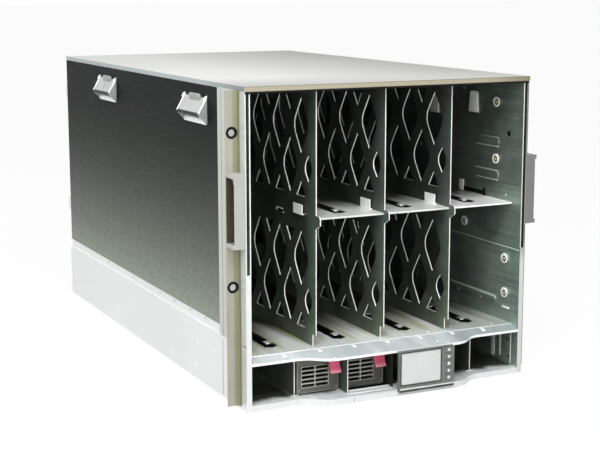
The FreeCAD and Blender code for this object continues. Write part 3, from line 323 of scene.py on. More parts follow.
def dress(piece, finish, body="chassis"):
    """Gives a piece the finish of a name and lets it ride on a body."""
    piece.data.materials.clear()
    piece.data.materials.append(bpy.data.materials[finish])
    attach(piece, body)


def dress_pair(piece, finish):
    """Dresses a piece of the right side and its twin on the left."""
    dress(mirror_copy(piece), finish)
    dress(piece, finish)


def soft_node(name, width):
    """Rounds the edges of a solid with modifiers that stay live."""
    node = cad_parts[name]
    weld = node.modifiers.new("weld", "WELD")
    weld.merge_threshold = WELD
    flats = node.modifiers.new("flats", "DECIMATE")
    flats.decimate_type = "DISSOLVE"
    flats.angle_limit = FLAT
    soft_edges(node, width)


# Shader nodes

class Nodes:
    """A node tree, with short ways to add to it."""

    def __init__(self, tree):
        self.tree = tree

    def add(self, kind, values=None, **settings):
        """A node with settings, and with values or links on its inputs."""
        node = self.tree.nodes.new(kind)
        for key, value in settings.items():
            setattr(node, key, value)
        for key, value in (values or {}).items():
            if isinstance(value, bpy.types.NodeSocket):
                self.tree.links.new(value, node.inputs[key])
            else:
                node.inputs[key].default_value = value
        return node

    def sums(self, operation, a, b=0.0):
        return self.add("ShaderNodeMath", {0: a, 1: b}, operation=operation).outputs[0]

    def times(self, a, b):
        return self.sums("MULTIPLY", a, b)

    def ramp(self, value, low, high, start=0.0, end=1.0):
        """Maps a value from low..high to start..end."""
        return self.add("ShaderNodeMapRange", {0: value, 1: low, 2: high, 3: start, 4: end}).outputs[0]

    def stretched(self, vector, stretch):
        return self.add("ShaderNodeVectorMath", {0: vector, 1: stretch}, operation="MULTIPLY").outputs[0]

    def noise(self, vector, scale, detail, rough=0.5):
        return self.add("ShaderNodeTexNoise", {
            "Vector": vector, "Scale": scale, "Detail": detail, "Roughness": rough}).outputs["Fac"]

    def coordinates(self, kind):
        return self.add("ShaderNodeTexCoord").outputs[kind]

    def axes(self, vector):
        return self.add("ShaderNodeSeparateXYZ", {0: vector}).outputs


def surface_group():
    """Grain, patches, edges and a softened normal, for all sheets and mouldings."""
    name = "Rack Surface"
    if name in bpy.data.node_groups:
        return bpy.data.node_groups[name]
    tree = bpy.data.node_groups.new(name, "ShaderNodeTree")
    inputs = {"Stretch": "Vector", "Patch Scale": "Float", "Depth": "Float", "Edge Radius": "Float"}
    outputs = {"Grain": "Float", "Patches": "Float", "Edge": "Float", "Normal": "Vector"}
    for way, sockets in (("INPUT", inputs), ("OUTPUT", outputs)):
        for socket, kind in sockets.items():
            tree.interface.new_socket(socket, in_out=way, socket_type=f"NodeSocket{kind}")
    nodes = Nodes(tree)
    given = nodes.add("NodeGroupInput").outputs
    place = nodes.coordinates("Object")
    grain = nodes.noise(nodes.stretched(place, given["Stretch"]), 1.0, 4.0, 0.65)
    patches = nodes.noise(place, given["Patch Scale"], 3.0, 0.55)
    rounded = nodes.add("ShaderNodeBevel", {"Radius": given["Edge Radius"]}, samples=4).outputs[0]
    flat = nodes.add("ShaderNodeNewGeometry").outputs["Normal"]
    level = nodes.add("ShaderNodeVectorMath", {0: rounded, 1: flat}, operation="DOT_PRODUCT").outputs["Value"]
    bump = nodes.add("ShaderNodeBump", {
        "Strength": given["Depth"], "Distance": 0.0004, "Height": grain, "Normal": rounded}).outputs[0]
    nodes.add("NodeGroupOutput", {
        "Grain": nodes.ramp(grain, 0.3, 0.7), "Patches": nodes.ramp(patches, 0.35, 0.65),
        "Edge": nodes.ramp(level, 0.995, 0.8), "Normal": bump})
    return tree


class Finish(Nodes):
    """A material in the making, whose colour is changed step by step."""

    def __init__(self, name, stretch, patch, depth, edge):
        self.material = bpy.data.materials.new(name)
        self.material.use_nodes = True
        super().__init__(self.material.node_tree)
        self.inputs = self.tree.nodes["Principled BSDF"].inputs
        self.surface = self.add("ShaderNodeGroup", {
            "Stretch": stretch, "Patch Scale": patch, "Depth": depth, "Edge Radius": edge * MM},
            node_tree=surface_group()).outputs
        self.link(self.surface["Normal"], "Normal")

    @cached_property
    def coords(self):
        return self.coordinates("Object")

    @cached_property
    def place(self):
        """X, Y and Z of the shaded spot, in metres."""
        return self.axes(self.coords)

    @cached_property
    def normal(self):
        """X, Y and Z of the normal at the shaded spot."""
        return self.axes(self.coordinates("Normal"))

    @cached_property
    def front(self):
        """1 on faces that look forward, and 0 on others."""
        return self.below(self.normal[Y], -0.5)

    def below(self, value, limit):
        return self.sums("LESS_THAN", value, limit)

    def above(self, value, limit):
        return self.sums("GREATER_THAN", value, limit)

    def size(self, value):
        return self.sums("ABSOLUTE", value)

    def link(self, socket, name):
        self.tree.links.new(socket, self.inputs[name])

    def vary(self, name, factor, low, high):
        """Lets a value of the shader run from low to high with a factor."""
        self.link(self.ramp(factor, 0, 1, low, high), name)

    def gloss(self, level):
        self.inputs["Specular IOR Level"].default_value = level

    def mixed(self, factor, a, b, kind="MIX"):
        """Mixes two colours, given as three numbers or as sockets."""
        a, b = (c if isinstance(c, bpy.types.NodeSocket) else (*c, 1) for c in (a, b))
        return self.add(
            "ShaderNodeMix", {0: factor, 6: a, 7: b}, data_type="RGBA", blend_type=kind).outputs[2]

    def paint(self, colour):
        self.base = colour
        self.link(colour, "Base Color")

    def blend(self, factor, colour):
        """Mixes another colour into the colour made so far."""
        self.paint(self.mixed(factor, self.base, colour))

    def tint(self, factor, tint):
        """Multiplies the colour made so far by a tint as far as a factor says."""
        self.paint(self.mixed(factor, self.base, tint, "MULTIPLY"))

    def grade(self, axis, start, full, tint):
        """Tints along an axis, from where the tint starts to where it is full."""
        self.tint(self.ramp(self.place[axis], start, full), tint)

    def put(self, *names):
        """Puts the finish on solids of the frame."""
        for name in names:
            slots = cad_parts[name].data.materials
            slots.clear()
            slots.append(self.material)


def shade(colour, amount):
    return [min(1.0, v * amount) for v in colour]


def metal(
        name, colour, stretch, metallic=0.8, rough=(0.3, 0.5), spread=0.18, patch=9.0, depth=0.15, worn=1.2):
    """Sheet metal: grain and patches vary its colour and gloss, and its edges are worn bright."""
    finish = Finish(name, stretch, patch, depth, 0.5)
    grain, patches = (finish.times(finish.surface[key], 0.5) for key in ("Grain", "Patches"))
    cloud = finish.sums("ADD", grain, patches)
    finish.paint(finish.mixed(cloud, shade(colour, 1 - spread), shade(colour, 1 + spread)))
    finish.blend(finish.surface["Edge"], shade(colour, worn))
    finish.vary("Roughness", finish.surface["Grain"], *rough)
    finish.inputs["Metallic"].default_value = metallic
    return finish


def moulded(name, colour, rough=(0.4, 0.55), spread=0.12, depth=0.08, worn=1.35):
    """Plastic or rubber with a fine grain, faint patches and lighter edges."""
    finish = Finish(name, (900, 900, 900), 30.0, depth, 0.4)
    patches = finish.surface["Patches"]
    finish.paint(finish.mixed(patches, shade(colour, 1 - spread), shade(colour, 1 + spread)))
    finish.blend(finish.surface["Edge"], shade(colour, worn))
    finish.vary("Roughness", patches, *rough)
    return finish


# Stretch of the grain of brushed sheets, and the span over which painted shade darkens the right end
ALONG_X, ALONG_Y = (12, 700, 700), (700, 12, 700)
RIGHT_SHADE_SPAN = (0.1, 0.2)


class Step:
    """A step of the dressing, which says in work() what it does to the scene."""

    def execute(self, context):
        self.work(context.scene)
        return {"FINISHED"}


class RACK_OT_dividers(Step, bpy.types.Operator):
    """Dark zinc with bright cut edges, and painted light and shade, for the dividers and the bay sheets"""
    bl_idname = "rack.dividers"
    bl_label = "Divider Finishes"

    def zinc(self, name, colour, cut_edge, front_only):
        zinc = metal(name, colour, (300, 14, 300), 0.3, (0.32, 0.5), 0.35, 22.0, worn=1.3)
        if front_only:
            # Painted shade: the bay sheets are darkened near the middle, between the second supply and the
            # display, and get no bright edge there
            middle = zinc.ramp(zinc.size(zinc.place[X]), 0.02, 0.03, 1.0, 0.0)
            zinc.tint(middle, (0.2, 0.2, 0.2))
            cut = zinc.sums("SUBTRACT", zinc.front, zinc.times(zinc.front, middle))
        else:
            # Painted light from the front opening: lighter towards the front and in the lower storeys. Also
            # lighter from mid-depth to the rear
            zinc.grade(Y, -0.35, -0.382, (2.2, 2.5, 2.25))
            zinc.grade(Y, -0.24, -0.14, (3.0, 3.0, 2.8))
            zinc.grade(Z, 0.27, 0.22, (1.3, 1.35, 1.3))
            zinc.grade(Z, 0.14, 0.08, (1.5, 1.5, 1.25))
            cut = zinc.below(zinc.size(zinc.normal[X]), 0.5)
        zinc.blend(cut, cut_edge)
        zinc.vary("Metallic", cut, 0.3, 0.1)
        return zinc

    def work(self, scene):
        values = scene.rack_finishes
        self.zinc("divider zinc", values.zinc, values.cut_edge, False).put(
            "divider_left", "divider_centre", "divider_right")
        self.zinc("bay sheet zinc", shade(values.zinc_wall, 0.42), shade(values.cut_edge, 0.9), True).put(
            "power_bay_dividers")


class RACK_OT_walls(Step, bpy.types.Operator):
    """Brushed zinc for the inner walls and the rear sheets, and bright steel for the studs and tabs"""
    bl_idname = "rack.walls"
    bl_label = "Wall Finishes"

    def work(self, scene):
        values = scene.rack_finishes
        zinc = metal("wall zinc", values.zinc_wall, (260, 7, 260), 0.7, spread=0.4, patch=14.0)
        zinc.tint(zinc.ramp(zinc.noise(zinc.coords, 26.0, 2.0), 0.4, 0.62), (1.04, 0.93, 1.04))
        # Painted light: lighter towards the front and lower down. The front edges take the cut-edge colour,
        # with painted shade on the right wall's edge
        zinc.grade(Y, -0.25, -0.4, (1.45, 1.6, 1.45))
        zinc.grade(Z, 0.26, 0.18, (1.35, 1.4, 1.4))
        edge = zinc.times(zinc.front, zinc.below(zinc.place[Y], -0.4))
        right = zinc.ramp(zinc.place[X], *RIGHT_SHADE_SPAN)
        zinc.blend(edge, zinc.mixed(right, values.cut_edge, (0.8, 0.82, 0.8), "MULTIPLY"))
        zinc.vary("Metallic", edge, 0.7, 0.1)
        zinc.put("left_inner_wall", "right_inner_wall")
        metal("rear zinc", shade(values.zinc_wall, 0.6), ALONG_X, 0.6).put("rear_shelves", "fan_bay_dividers")
        metal("stud steel", (0.9, 0.9, 0.86), (200, 200, 200), 0.1, (0.3, 0.4), worn=1.0).put(
            "wall_studs", "shelf_tabs")
        metal("brass", (0.75, 0.67, 0.4), (300, 300, 300), 0.3)
        # Bright zinc for the wall lines, most of them painted highlights along the pressed ribs
        metal("seam zinc", shade(values.zinc_wall, 2.2), ALONG_Y, 0.2)
        # Near-black for dark marks, and painted shade for slots, hollows and gaps
        moulded("dark mark", (0.008, 0.009, 0.008), worn=1.0).gloss(0.0)


class RACK_OT_outer_sheets(Step, bpy.types.Operator):
    """Bare steel, brushed cover, dark skins and ears with a painted beige reflection for the outside, with
    painted shade and more painted reflections
    """
    bl_idname = "rack.outer_sheets"
    bl_label = "Outer Finishes"

    def bare(self, values):
        steel = metal("bare steel", values.bare, ALONG_Y, 0.6, (0.34, 0.46), 0.05, 3.0)
        # Painted shade: front faces at the right end are darker, and darker still higher up
        right = steel.times(steel.front, steel.ramp(steel.place[X], *RIGHT_SHADE_SPAN))
        steel.tint(right, (0.8, 0.8, 0.79))
        steel.tint(steel.times(right, steel.ramp(steel.place[Z], 0.17, 0.2)), (0.45, 0.46, 0.45))
        # Painted shade: faces that look inward, towards the middle, are nearly black
        inward_shade = steel.below(steel.times(steel.normal[X], steel.place[X]), -0.1)
        steel.tint(inward_shade, (0.1, 0.11, 0.1))
        steel.put("left_side_wall", "right_side_wall", "left_base_side", "right_base_side", "bottom_plate",
                  "rear_blanks", "power_inlet_panel")
        metal("bright steel", values.bare, (150, 150, 150), 0.6, (0.3, 0.42), 0.1, 30.0)

    def lifts(self):
        steel = metal("lift steel", (0.31, 0.325, 0.315), (150, 150, 150), 0.25, (0.3, 0.45), patch=40.0)
        outer = steel.above(steel.size(steel.place[X]), (SKIN + BRACKET_REACH - 0.3) * MM)
        shadow = steel.times(outer, steel.above(steel.size(steel.normal[X]), 0.95))
        steel.blend(shadow, (0.012, 0.013, 0.012))
        steel.gloss(0.1)
        steel.vary("Metallic", shadow, 0.25, 0.0)
        steel.put("left_lift_brackets", "right_lift_brackets")

    def grips(self):
        steel = metal("grip steel", (0.375, 0.375, 0.35), (300, 300, 30), 0.3, (0.35, 0.5), 0.08, 20.0)
        # Painted shade on the right grip, and dark olive painted shade inside the hollow of each grip
        steel.grade(X, *RIGHT_SHADE_SPAN, (0.45, 0.45, 0.45))
        off = steel.size(steel.sums("SUBTRACT", steel.place[Z], GRIP_MIDDLE * MM))
        inside = steel.times(
            steel.below(off, GRIP_HALF * MM), steel.ramp(steel.place[Y], -0.4015, -0.4035, 1.0, 0.0))
        steel.blend(inside, (0.058, 0.053, 0.027))
        steel.put("left_grip", "right_grip")
        metal("grip shade", (0.045, 0.041, 0.02), (200, 200, 20), 0.1, (0.5, 0.6), 0.3)

    def cover(self, values):
        steel = metal("cover steel", values.cover, (14, 260, 260), 0.25, (0.42, 0.55), 0.06, 3.0)
        steel.gloss(0.2)
        place = steel.place
        # Painted shade: darker towards the front, more so at the front left, and darker at the right rear
        front_shade = steel.ramp(place[Y], -0.25, -0.4)
        steel.tint(front_shade, (0.8, 0.8, 0.8))
        steel.tint(steel.times(front_shade, steel.ramp(place[X], 0.06, -0.2)), (0.7, 0.7, 0.7))
        right_rear_shade = steel.times(steel.ramp(place[X], -0.12, 0.2), steel.ramp(front_shade, 0, 1, 1.0, 0.5))
        steel.tint(right_rear_shade, (0.58, 0.575, 0.55))
        # Faces that look sideways are darker and bluer
        steel.tint(steel.above(steel.size(steel.normal[X]), 0.5), (0.62, 0.7, 0.74))
        # The lip's tan is a painted reflection. It gets a painted shadow along its lower edge, a darker line
        # along its top edge and painted shade at its right end
        lip = steel.mixed(steel.ramp(place[Z], 0.4358, 0.4350), values.lip, (0.004, 0.004, 0.004))
        for axis, start, full, tint in (
            (Z, 0.4408, 0.4414, (0.6, 0.6, 0.58)), (X, 0.15, 0.22, (0.65, 0.65, 0.65))):
            lip = steel.mixed(steel.ramp(place[axis], start, full), lip, tint, "MULTIPLY")
        steel.blend(steel.front, lip)
        steel.put("top_cover")

    def skins(self, values):
        skin = metal("dark skin", values.skin, (500, 20, 500), 0.0, (0.45, 0.62), 0.4, 5.0, 0.3)
        skin.gloss(0.045)
        # Painted reflection of the pale floor: lighter and mottled towards the bottom
        height = skin.sums("POWER", skin.ramp(skin.place[Z], 0.44, 0.1), 2.6)
        reflection_mottle = skin.noise(skin.coords, 420.0, 2.0)
        skin.blend(skin.times(height, skin.ramp(reflection_mottle, 0.2, 0.8, 0.55, 1.25)), (0.275, 0.31, 0.262))
        skin.put("left_side_skin", "right_side_skin")

    def ears(self, values):
        steel = metal("ear steel", values.ear, (220, 220, 9), 0.35, (0.38, 0.5), 0.12, 12.0)
        # Painted shade: olive darkening at the bend of each ear, and painted shade on the right ear
        bend_shade = steel.ramp(steel.size(steel.place[X]), 0.2325, 0.2285)
        steel.blend(steel.times(bend_shade, 0.9), (0.18, 0.182, 0.1))
        steel.grade(X, *RIGHT_SHADE_SPAN, (0.17, 0.18, 0.22))
        # The leg behind the flange is lighter and greyer
        steel.blend(steel.ramp(steel.place[Y], -0.3815, -0.379), (0.49, 0.505, 0.465))
        steel.put("left_rack_ear", "right_rack_ear")
        ring = moulded("black ring", (0.008, 0.008, 0.008), worn=1.0)
        ring.gloss(0.1)
        ring.put("ear_washers")

    def work(self, scene):
        values = scene.rack_finishes
        self.bare(values)
        self.lifts()
        self.grips()
        self.cover(values)
        self.skins(values)
        self.ears(values)


class RACK_OT_decks(Step, bpy.types.Operator):
    """Streaked steel for the bay floor, the base tray and the shelves"""
    bl_idname = "rack.decks"
    bl_label = "Deck Finishes"

    def deck(self, name, colour, shade_start, shade_full, ragged, dark):
        """Steel that is lit at the front and darkened further in by painted shade, and its streaks."""
        steel = metal(name, colour, (110, 5, 110), 0.3, spread=0.2)
        streak = steel.noise(steel.stretched(steel.coords, (42, 3.2, 42)), 1.0, 3.0)
        # Painted shade: darker from the front inwards, along a ragged line
        depth = steel.sums("ADD", steel.place[Y], steel.ramp(streak, 0.3, 0.7, -ragged, ragged))
        steel.blend(steel.ramp(depth, shade_start, shade_full), dark)
        # Painted shade on the side faces of the slots
        steel.blend(steel.above(steel.size(steel.normal[X]), 0.8), (0.01, 0.01, 0.009))
        return steel, streak

    def work(self, scene):
        values = scene.rack_finishes
        floor, streak = self.deck("floor steel", values.deck, -0.36, -0.2, 0.035, (0.03, 0.031, 0.026))
        # Painted reflection: warm tints along the streaks at middle depth
        warm_reflection = floor.times(
            floor.ramp(streak, 0.45, 0.62), floor.ramp(floor.place[Y], -0.385, -0.34, 0, 0.8))
        floor.tint(warm_reflection, (0.78, 0.77, 0.46))
        apron = floor.mixed(floor.ramp(streak, 0.35, 0.65), (0.56, 0.62, 0.64), (0.74, 0.79, 0.8))
        floor.blend(floor.below(floor.place[Y], FOLD * MM), apron)
        # Painted shade on the floor at the right end
        floor.grade(X, 0.1, 0.115, (0.64, 0.67, 0.67))
        floor.blend(floor.front, (0.86, 0.87, 0.87))
        floor.put("bay_floor")
        tray, streak = self.deck("tray steel", (0.7, 0.75, 0.75), -0.396, -0.381, 0.006, (0.05, 0.05, 0.042))
        tray.blend(tray.front, (0.64, 0.65, 0.65))
        tray.put("base_tray")
        shelf, streak = self.deck("shelf steel", values.shelf, -0.33, -0.25, 0.015, (0.06, 0.065, 0.055))
        shelf.grade(X, 0.115, 0.1, (0.77, 0.79, 0.77))
        shelf.put("shelf_centre_left", "shelf_centre_right", "shelf_right")
        metal("hem steel", (0.84, 0.85, 0.85), ALONG_X, 0.2, (0.3, 0.42), 0.04)


class RACK_OT_mouldings(Step, bpy.types.Operator):
    """Painted, moulded and board finishes for the supplies, the display and the rear"""
    bl_idname = "rack.mouldings"
    bl_label = "Moulded Finishes"

    def supplies(self, values):
        metal("supply case", (0.42, 0.43, 0.42), ALONG_Y, 0.8, (0.32, 0.45)).put(
            "supply_a_casing", "supply_b_casing")
        painted = (0.2, (0.35, 0.5))
        metal("supply face", (0.1, 0.098, 0.085), ALONG_X, *painted, 0.25).put(
            "supply_a_face", "supply_b_face")
        metal("grille grey", (0.37, 0.365, 0.32), ALONG_X, *painted)
        metal("rim grey", (0.2, 0.195, 0.17), ALONG_X, *painted)
        latch = moulded("latch plastic", values.latch, (0.3, 0.42), worn=1.5)
        # Painted highlight: the lower end of the latch is lighter and pinker
        latch.blend(latch.ramp(latch.place[Z], 0.0425, 0.0395, 0.0, 0.6), (0.95, 0.48, 0.58))
        latch.put("supply_a_latch", "supply_b_latch")

    def display(self, values):
        moulded("display plastic", (0.12, 0.14, 0.125), worn=1.4).put("display_housing")
        moulded("dark frame", (0.03, 0.032, 0.03))
        moulded("rail plastic", (0.42, 0.44, 0.44)).put("display_rail", "display_carriage")
        moulded("button rubber", (0.13, 0.15, 0.135), worn=1.2).put(*[f"button_{name}" for name in BUTTONS])
        moulded("icon ink", (0.72, 0.73, 0.7), spread=0.04, worn=1.0)
        moulded("screen pane", values.pane, (0.42, 0.5), 0.03, 0.02, 0.9).put("display_screen")

    def inside(self):
        moulded("black plastic", (0.02, 0.02, 0.021)).put(
            "supply_a_plug", "supply_b_plug", "midplane_connectors", "power_inlets", "fan_housings",
            *[f"fan_rotor_{level}_{side}" for level in FAN_Z for side in ("left", "right")])
        board = moulded("circuit board", (0.012, 0.03, 0.018), (0.4, 0.5))
        grid = board.add(
            "ShaderNodeTexVoronoi", {"Vector": board.coords, "Scale": 160.0}, distance="MANHATTAN")
        pads = board.below(grid.outputs["Distance"], 0.22)
        board.blend(board.times(pads, 0.4), (0.16, 0.15, 0.08))
        board.put("supply_a_board", "supply_b_board", "midplane_board", "power_backplane")

    def work(self, scene):
        values = scene.rack_finishes
        self.supplies(values)
        self.display(values)
        self.inside()


# Pieces shaped here

def front_line(x):
    """Depth of the bulged front edge at a place across the enclosure."""
    x = abs(x)
    run = (BULGE_ROOT - BULGE_FLAT) / 2
    radius = (run ** 2 + BULGE_REACH ** 2 / 4) / BULGE_REACH
    if x <= BULGE_FLAT:
        return NOSE
    if x >= BULGE_ROOT:
        return FRONT
    if x <= BULGE_FLAT + run:
        return NOSE + radius - math.sqrt(radius ** 2 - (x - BULGE_FLAT) ** 2)
    return FRONT - radius + math.sqrt(radius ** 2 - (BULGE_ROOT - x) ** 2)


def grow(value, centre):
    """Scales what is selected about a centre in millimetres."""
    bpy.ops.transform.resize(value=value, center_override=metres(centre))


def taper(direction, value, centre):
    """Scales the faces that look in a direction."""
    pick_faces(facing(direction))
    grow(value, centre)


def rounded_bar(name, x, y, z, axis, rounding, edge):
    """A bar whose edges along one axis are well rounded and the others just broken."""
    piece = block(name, x, y, z)
    pick_edges(along(axis))
    soften(rounding, 3)
    return close(piece, edge)


def button_head(name, centre, radius, length, axis, edge, sides=16):
    """A flat round head whose rims are rounded."""
    piece = round_bar(name, centre, radius, length, axis, sides)
    return close(piece, edge)


class RACK_OT_floor_front(Step, bpy.types.Operator):
    """Painted highlight along the fold, pressed darts and rivets at the front of the bay floor"""
    bl_idname = "rack.floor_front"
    bl_label = "Floor Front"

    rivets = (
        (-100.0, -426.0), (71.0, -416.0), (84.0, -425.0), (79.0, -375.0), (127.0, -362.0), (190.0, -375.0))

    def dart(self, x):
        slope = math.atan2(FLOOR_DROP, FOLD - front_line(x))
        piece = block(
            "floor_darts", (x - 3.2, x + 3.2), (FOLD - 12, FOLD + 1), (FLOOR_TOP - 1, FLOOR_TOP + 1.3))
        taper(UP, (0.55, 0.75, 1), (x, FOLD - 5, FLOOR_TOP))
        turn(-slope, X, (x, FOLD, FLOOR_TOP))
        return close(piece, 0.4)

    def rivet(self, x, y):
        fall = FLOOR_DROP * max(0.0, FOLD - y) / (FOLD - front_line(x))
        return button_head("floor_rivets", (x, y, FLOOR_TOP - fall), 1.7, 1.0, Z, 0.3, 14)

    def work(self, scene):
        dress(joined([self.rivet(*place) for place in self.rivets]), "hem steel")
        darts = joined([self.dart(step * ZONE_PITCH / 2) for step in range(-3, 4)])
        dress(darts, "hem steel")
        # A bright bar as a painted highlight along the fold
        fold_highlight = block("floor_fold_line", (-INNER + 0.2, INNER - 0.2), (FOLD - 1.2, FOLD + 1.2),
                     (FLOOR_TOP - 1, FLOOR_TOP + 0.3))
        taper(UP, (1, 0.4, 1), (0, FOLD, FLOOR_TOP))
        dress(close(fold_highlight, 0.15), "hem steel")


class RACK_OT_slot_shades(Step, bpy.types.Operator):
    """Dark bands of painted shade along the slots of the bay floor and the shelves"""
    bl_idname = "rack.slot_shades"
    bl_label = "Slot Shades"

    spans = (((-10.0, -6.3), (-353, -241.5)), ((6.3, 10.0), (-353, -334)), ((6.3, 10.0), (-319, -241.5)))

    def bands(self, name, middle, level):
        pieces = []
        for (left, right), depth in self.spans:
            band = block(name, (middle + left, middle + right), depth, (level - 0.3, level + 0.1))
            pick_edges(lambda place, run: abs(run.z) > 0.9 and place.y < depth[0] + 0.1)
            soften(1.8, 3)
            pieces.append(close(band))
        return joined(pieces)

    def work(self, scene):
        zones = [ZONE_PITCH * step for step in (-1.5, -0.5, 0.5, 1.5)]
        for name, level, middles in (
            ("floor_slot_shades", FLOOR_TOP, zones), ("shelf_slot_shades", SHELF_TOP, zones[1:])):
            shades = repeated_at(self.bands(name, middles[0], level), [(x, 0, 0) for x in middles])
            dress(shades, "dark mark")


class RACK_OT_tray_front(Step, bpy.types.Operator):
    """Ledge, runner, shade and seam at the front of the base tray"""
    bl_idname = "rack.tray_front"
    bl_label = "Tray Front"

    start, ledge_end, runner_end = -70.5, -3.2, 14
    ledge_depth, runner_depth, shade_depth = (-418.2, -412.5), (-403.2, -401), (-400.9, -389)

    def work(self, scene):
        ledge = block(
            "tray_ledge", (self.start, self.ledge_end), self.ledge_depth, (TRAY_TOP, TRAY_TOP + 0.5))
        pick_edges(lambda middle, run: middle.y < self.ledge_depth[0] + 0.2 and middle.z > TRAY_TOP + 0.4)
        shift(0, 0, 0.6)
        dress(close(ledge, 0.2), "hem steel")
        runner = rounded_bar(
            "tray_runner", (self.start, self.runner_end), self.runner_depth, (TRAY_TOP, TRAY_TOP + 1.2),
            X, 0.3, 0.1)
        dress(runner, "hem steel")
        shadow = block(
            "tray_shade", (self.start, self.runner_end), self.shade_depth, (TRAY_TOP - 0.2, TRAY_TOP + 0.1))
        taper(UP, (0.995, 0.96, 1), (-28, -395, TRAY_TOP))
        dress(close(shadow), "dark mark")
        seam = block(
            "tray_seam", (self.start - 1, self.start), (NOSE - 0.08, NOSE + 0.5), (0.6, TRAY_TOP - 0.6))
        taper(FORWARD, (0.5, 1, 0.95), (-71, NOSE, TRAY_TOP / 2))
        dress(close(seam), "dark mark")


class RACK_OT_side_fittings(Step, bpy.types.Operator):
    """Rivets of the lower panels, dots of the bare strips, lines of the ears, painted shadow lines behind
    them, and wall slits
    """
    bl_idname = "rack.side_fittings"
    bl_label = "Side Fittings"

    panel_rivets = (
        (289.6, 30.9), (137.8, 30.8), (68.9, 57.4), (-84.4, 59.0), (-130.5, 44.8), (-233.9, 59.0),
        (-129.1, 17.0), (-225.2, 20.1), (-303.5, 60.2),
    )
    strip_dots = ((-68.9, 97.8), (-133.0, 98.3), (-198.6, 99.0), (-259.2, 99.1), (60.0, 97.6), (190.0, 97.4))
    ear_line, line_heights = (239.0, 240.2), ((8, 222), (331, 432))
    seam_depth, slit = (-330.8, -329.2), ((-405, -384), (90.4, 91.4))

    def dots(self, name, x, places, radius):
        first = button_head(name, (x, *places[0]), radius, 0.7, X, 0.25, 14)
        return repeated_at(first, [(x, *place) for place in places])

    def work(self, scene):
        radius = scene.rack_fittings.rivet_radius / MM
        made = [
            (self.dots("right_panel_rivets", PANEL, self.panel_rivets, radius), "bare_steel", "hem steel"),
            (self.dots("right_strip_dots", WALL, self.strip_dots, radius * 0.6), "bare_steel", "dark mark"),
        ]
        lines = []
        for low, high in self.line_heights:
            line = block("right_ear_line", self.ear_line, (EAR_FACE - 0.3, EAR_FACE + 0.3), (low, high))
            taper(FORWARD, (0.5, 1, 0.995), (239.6, EAR_FACE, (low + high) / 2))
            lines.append(close(line, 0.1))
        made.append((joined(lines), "ear_steel", "ear steel"))
        # Grey bars as a painted shadow line where the ear's leg ends, on the leg and on the lower panel
        seams = [
            rounded_bar("right_ear_seam", (face - 0.2, face + 0.15), self.seam_depth, span, Z, 0.3, 0.05)
            for face, span in ((EAR_LEG, (89, 434)), (PANEL, (5, 85)))]
        made.append((joined(seams), "ear_steel", "rim grey"))
        slit = block("right_wall_slit", (WALL - 0.3, WALL + 0.12), *self.slit)
        taper(OUTWARD, (1, 0.98, 0.6), (WALL, -394, 90.9))
        close(slit)
        eye = button_head("right_wall_slit_eye", (WALL, -404, 90.9), 1.1, 0.5, X, 0.1, 12)
        made.append((joined([slit, eye]), "bare_steel", "dark mark"))
        for piece, slot, finish in made:
            dress_pair(piece, finish)


class RACK_OT_lift_details(Step, bpy.types.Operator):
    """Cheek bars, prongs, roof tabs and rolled lower edges of the lifting brackets, with dark plates of
    painted shade inside
    """
    bl_idname = "rack.lift_details"
    bl_label = "Lift Bracket Details"

    cheek, prong, tab = (395.5, 416.5), (414, 421), (412, 422)
    roll, lining = (380, 388.5), (388, 412)

    def work(self, scene):
        pieces, linings, tabs = [], [], []
        for start, end in BRACKETS:
            for edge in (start + 1.2, end - 1.2):
                cheek = block(
                    "right_lift_details", (SKIN, SKIN + 2.6), (edge - 1.2, edge + 1.2), self.cheek)
                pick_faces(facing(DOWN))
                shift(BRACKET_REACH - 1.2, 0, 0)
                pieces.append(close(cheek, 0.5))
                prong = block(
                    "right_lift_details", (SKIN, SKIN + 6), (edge - 0.9, edge + 0.9), self.prong)
                pick_edges(lambda middle, run: middle.x > SKIN + 5 and middle.z > 420)
                shift(-2.5, 0, -1.5)
                pieces.append(close(prong, 0.4))
            middle = (start + end) / 2
            tab = block("right_roof_tabs", (SKIN, SKIN + 3.6), (middle - 19, middle + 19), self.tab)
            pick_edges(along(X))
            soften(4.0, 4)
            tabs.append(close(tab, 0.4))
            pieces.append(rounded_bar(
                "right_roll", (SKIN, SKIN + 3.2), (start + 2, end - 2), self.roll, Y, 1.4, 0.3))
            # Dark plates as painted shade inside the hood of each bracket
            lining = block(
                "right_lift_linings", (SKIN + 1.5, SKIN + 1.9), (start + 1.8, end - 1.8), self.lining)
            taper(OUTWARD, (1, 0.99, 0.97), (SKIN, middle, 400))
            linings.append(close(lining))
        for group, finish in ((pieces, "hem steel"), (tabs, "lift steel"), (linings, "dark mark")):
            dress_pair(joined(group), finish)
        for side in ("left", "right"):
            soft_node(f"{side}_lift_brackets", scene.rack_fittings.soft_edge)
            soft_node(f"{side}_grip", scene.rack_fittings.soft_edge)


class RACK_OT_grip_linings(Step, bpy.types.Operator):
    """Dark plates as painted shade inside the front grips"""
    bl_idname = "rack.grip_linings"
    bl_label = "Grip Linings"

    def work(self, scene):
        height = (GRIP_LOW, GRIP_HIGH)
        # Painted shade on the wall and on the ear face inside each grip
        lining = block("right_grip_lining", (WALL, WALL + 0.6), (FRONT + 3.2, EAR_FACE - 0.2), height)
        pick_edges(lambda middle, run: middle.z > 320 and middle.y < FRONT + 4)
        soften(8.0, 1)
        close(lining, 0.2)
        plate = block("right_grip_plate", (WALL + 0.3, 241.1), (EAR_FACE - 0.4, EAR_FACE), height)
        taper(FORWARD, (0.98, 1, 0.99), (241.1, EAR_FACE, GRIP_MIDDLE))
        close(plate)
        dress_pair(joined([lining, plate]), "grip shade")


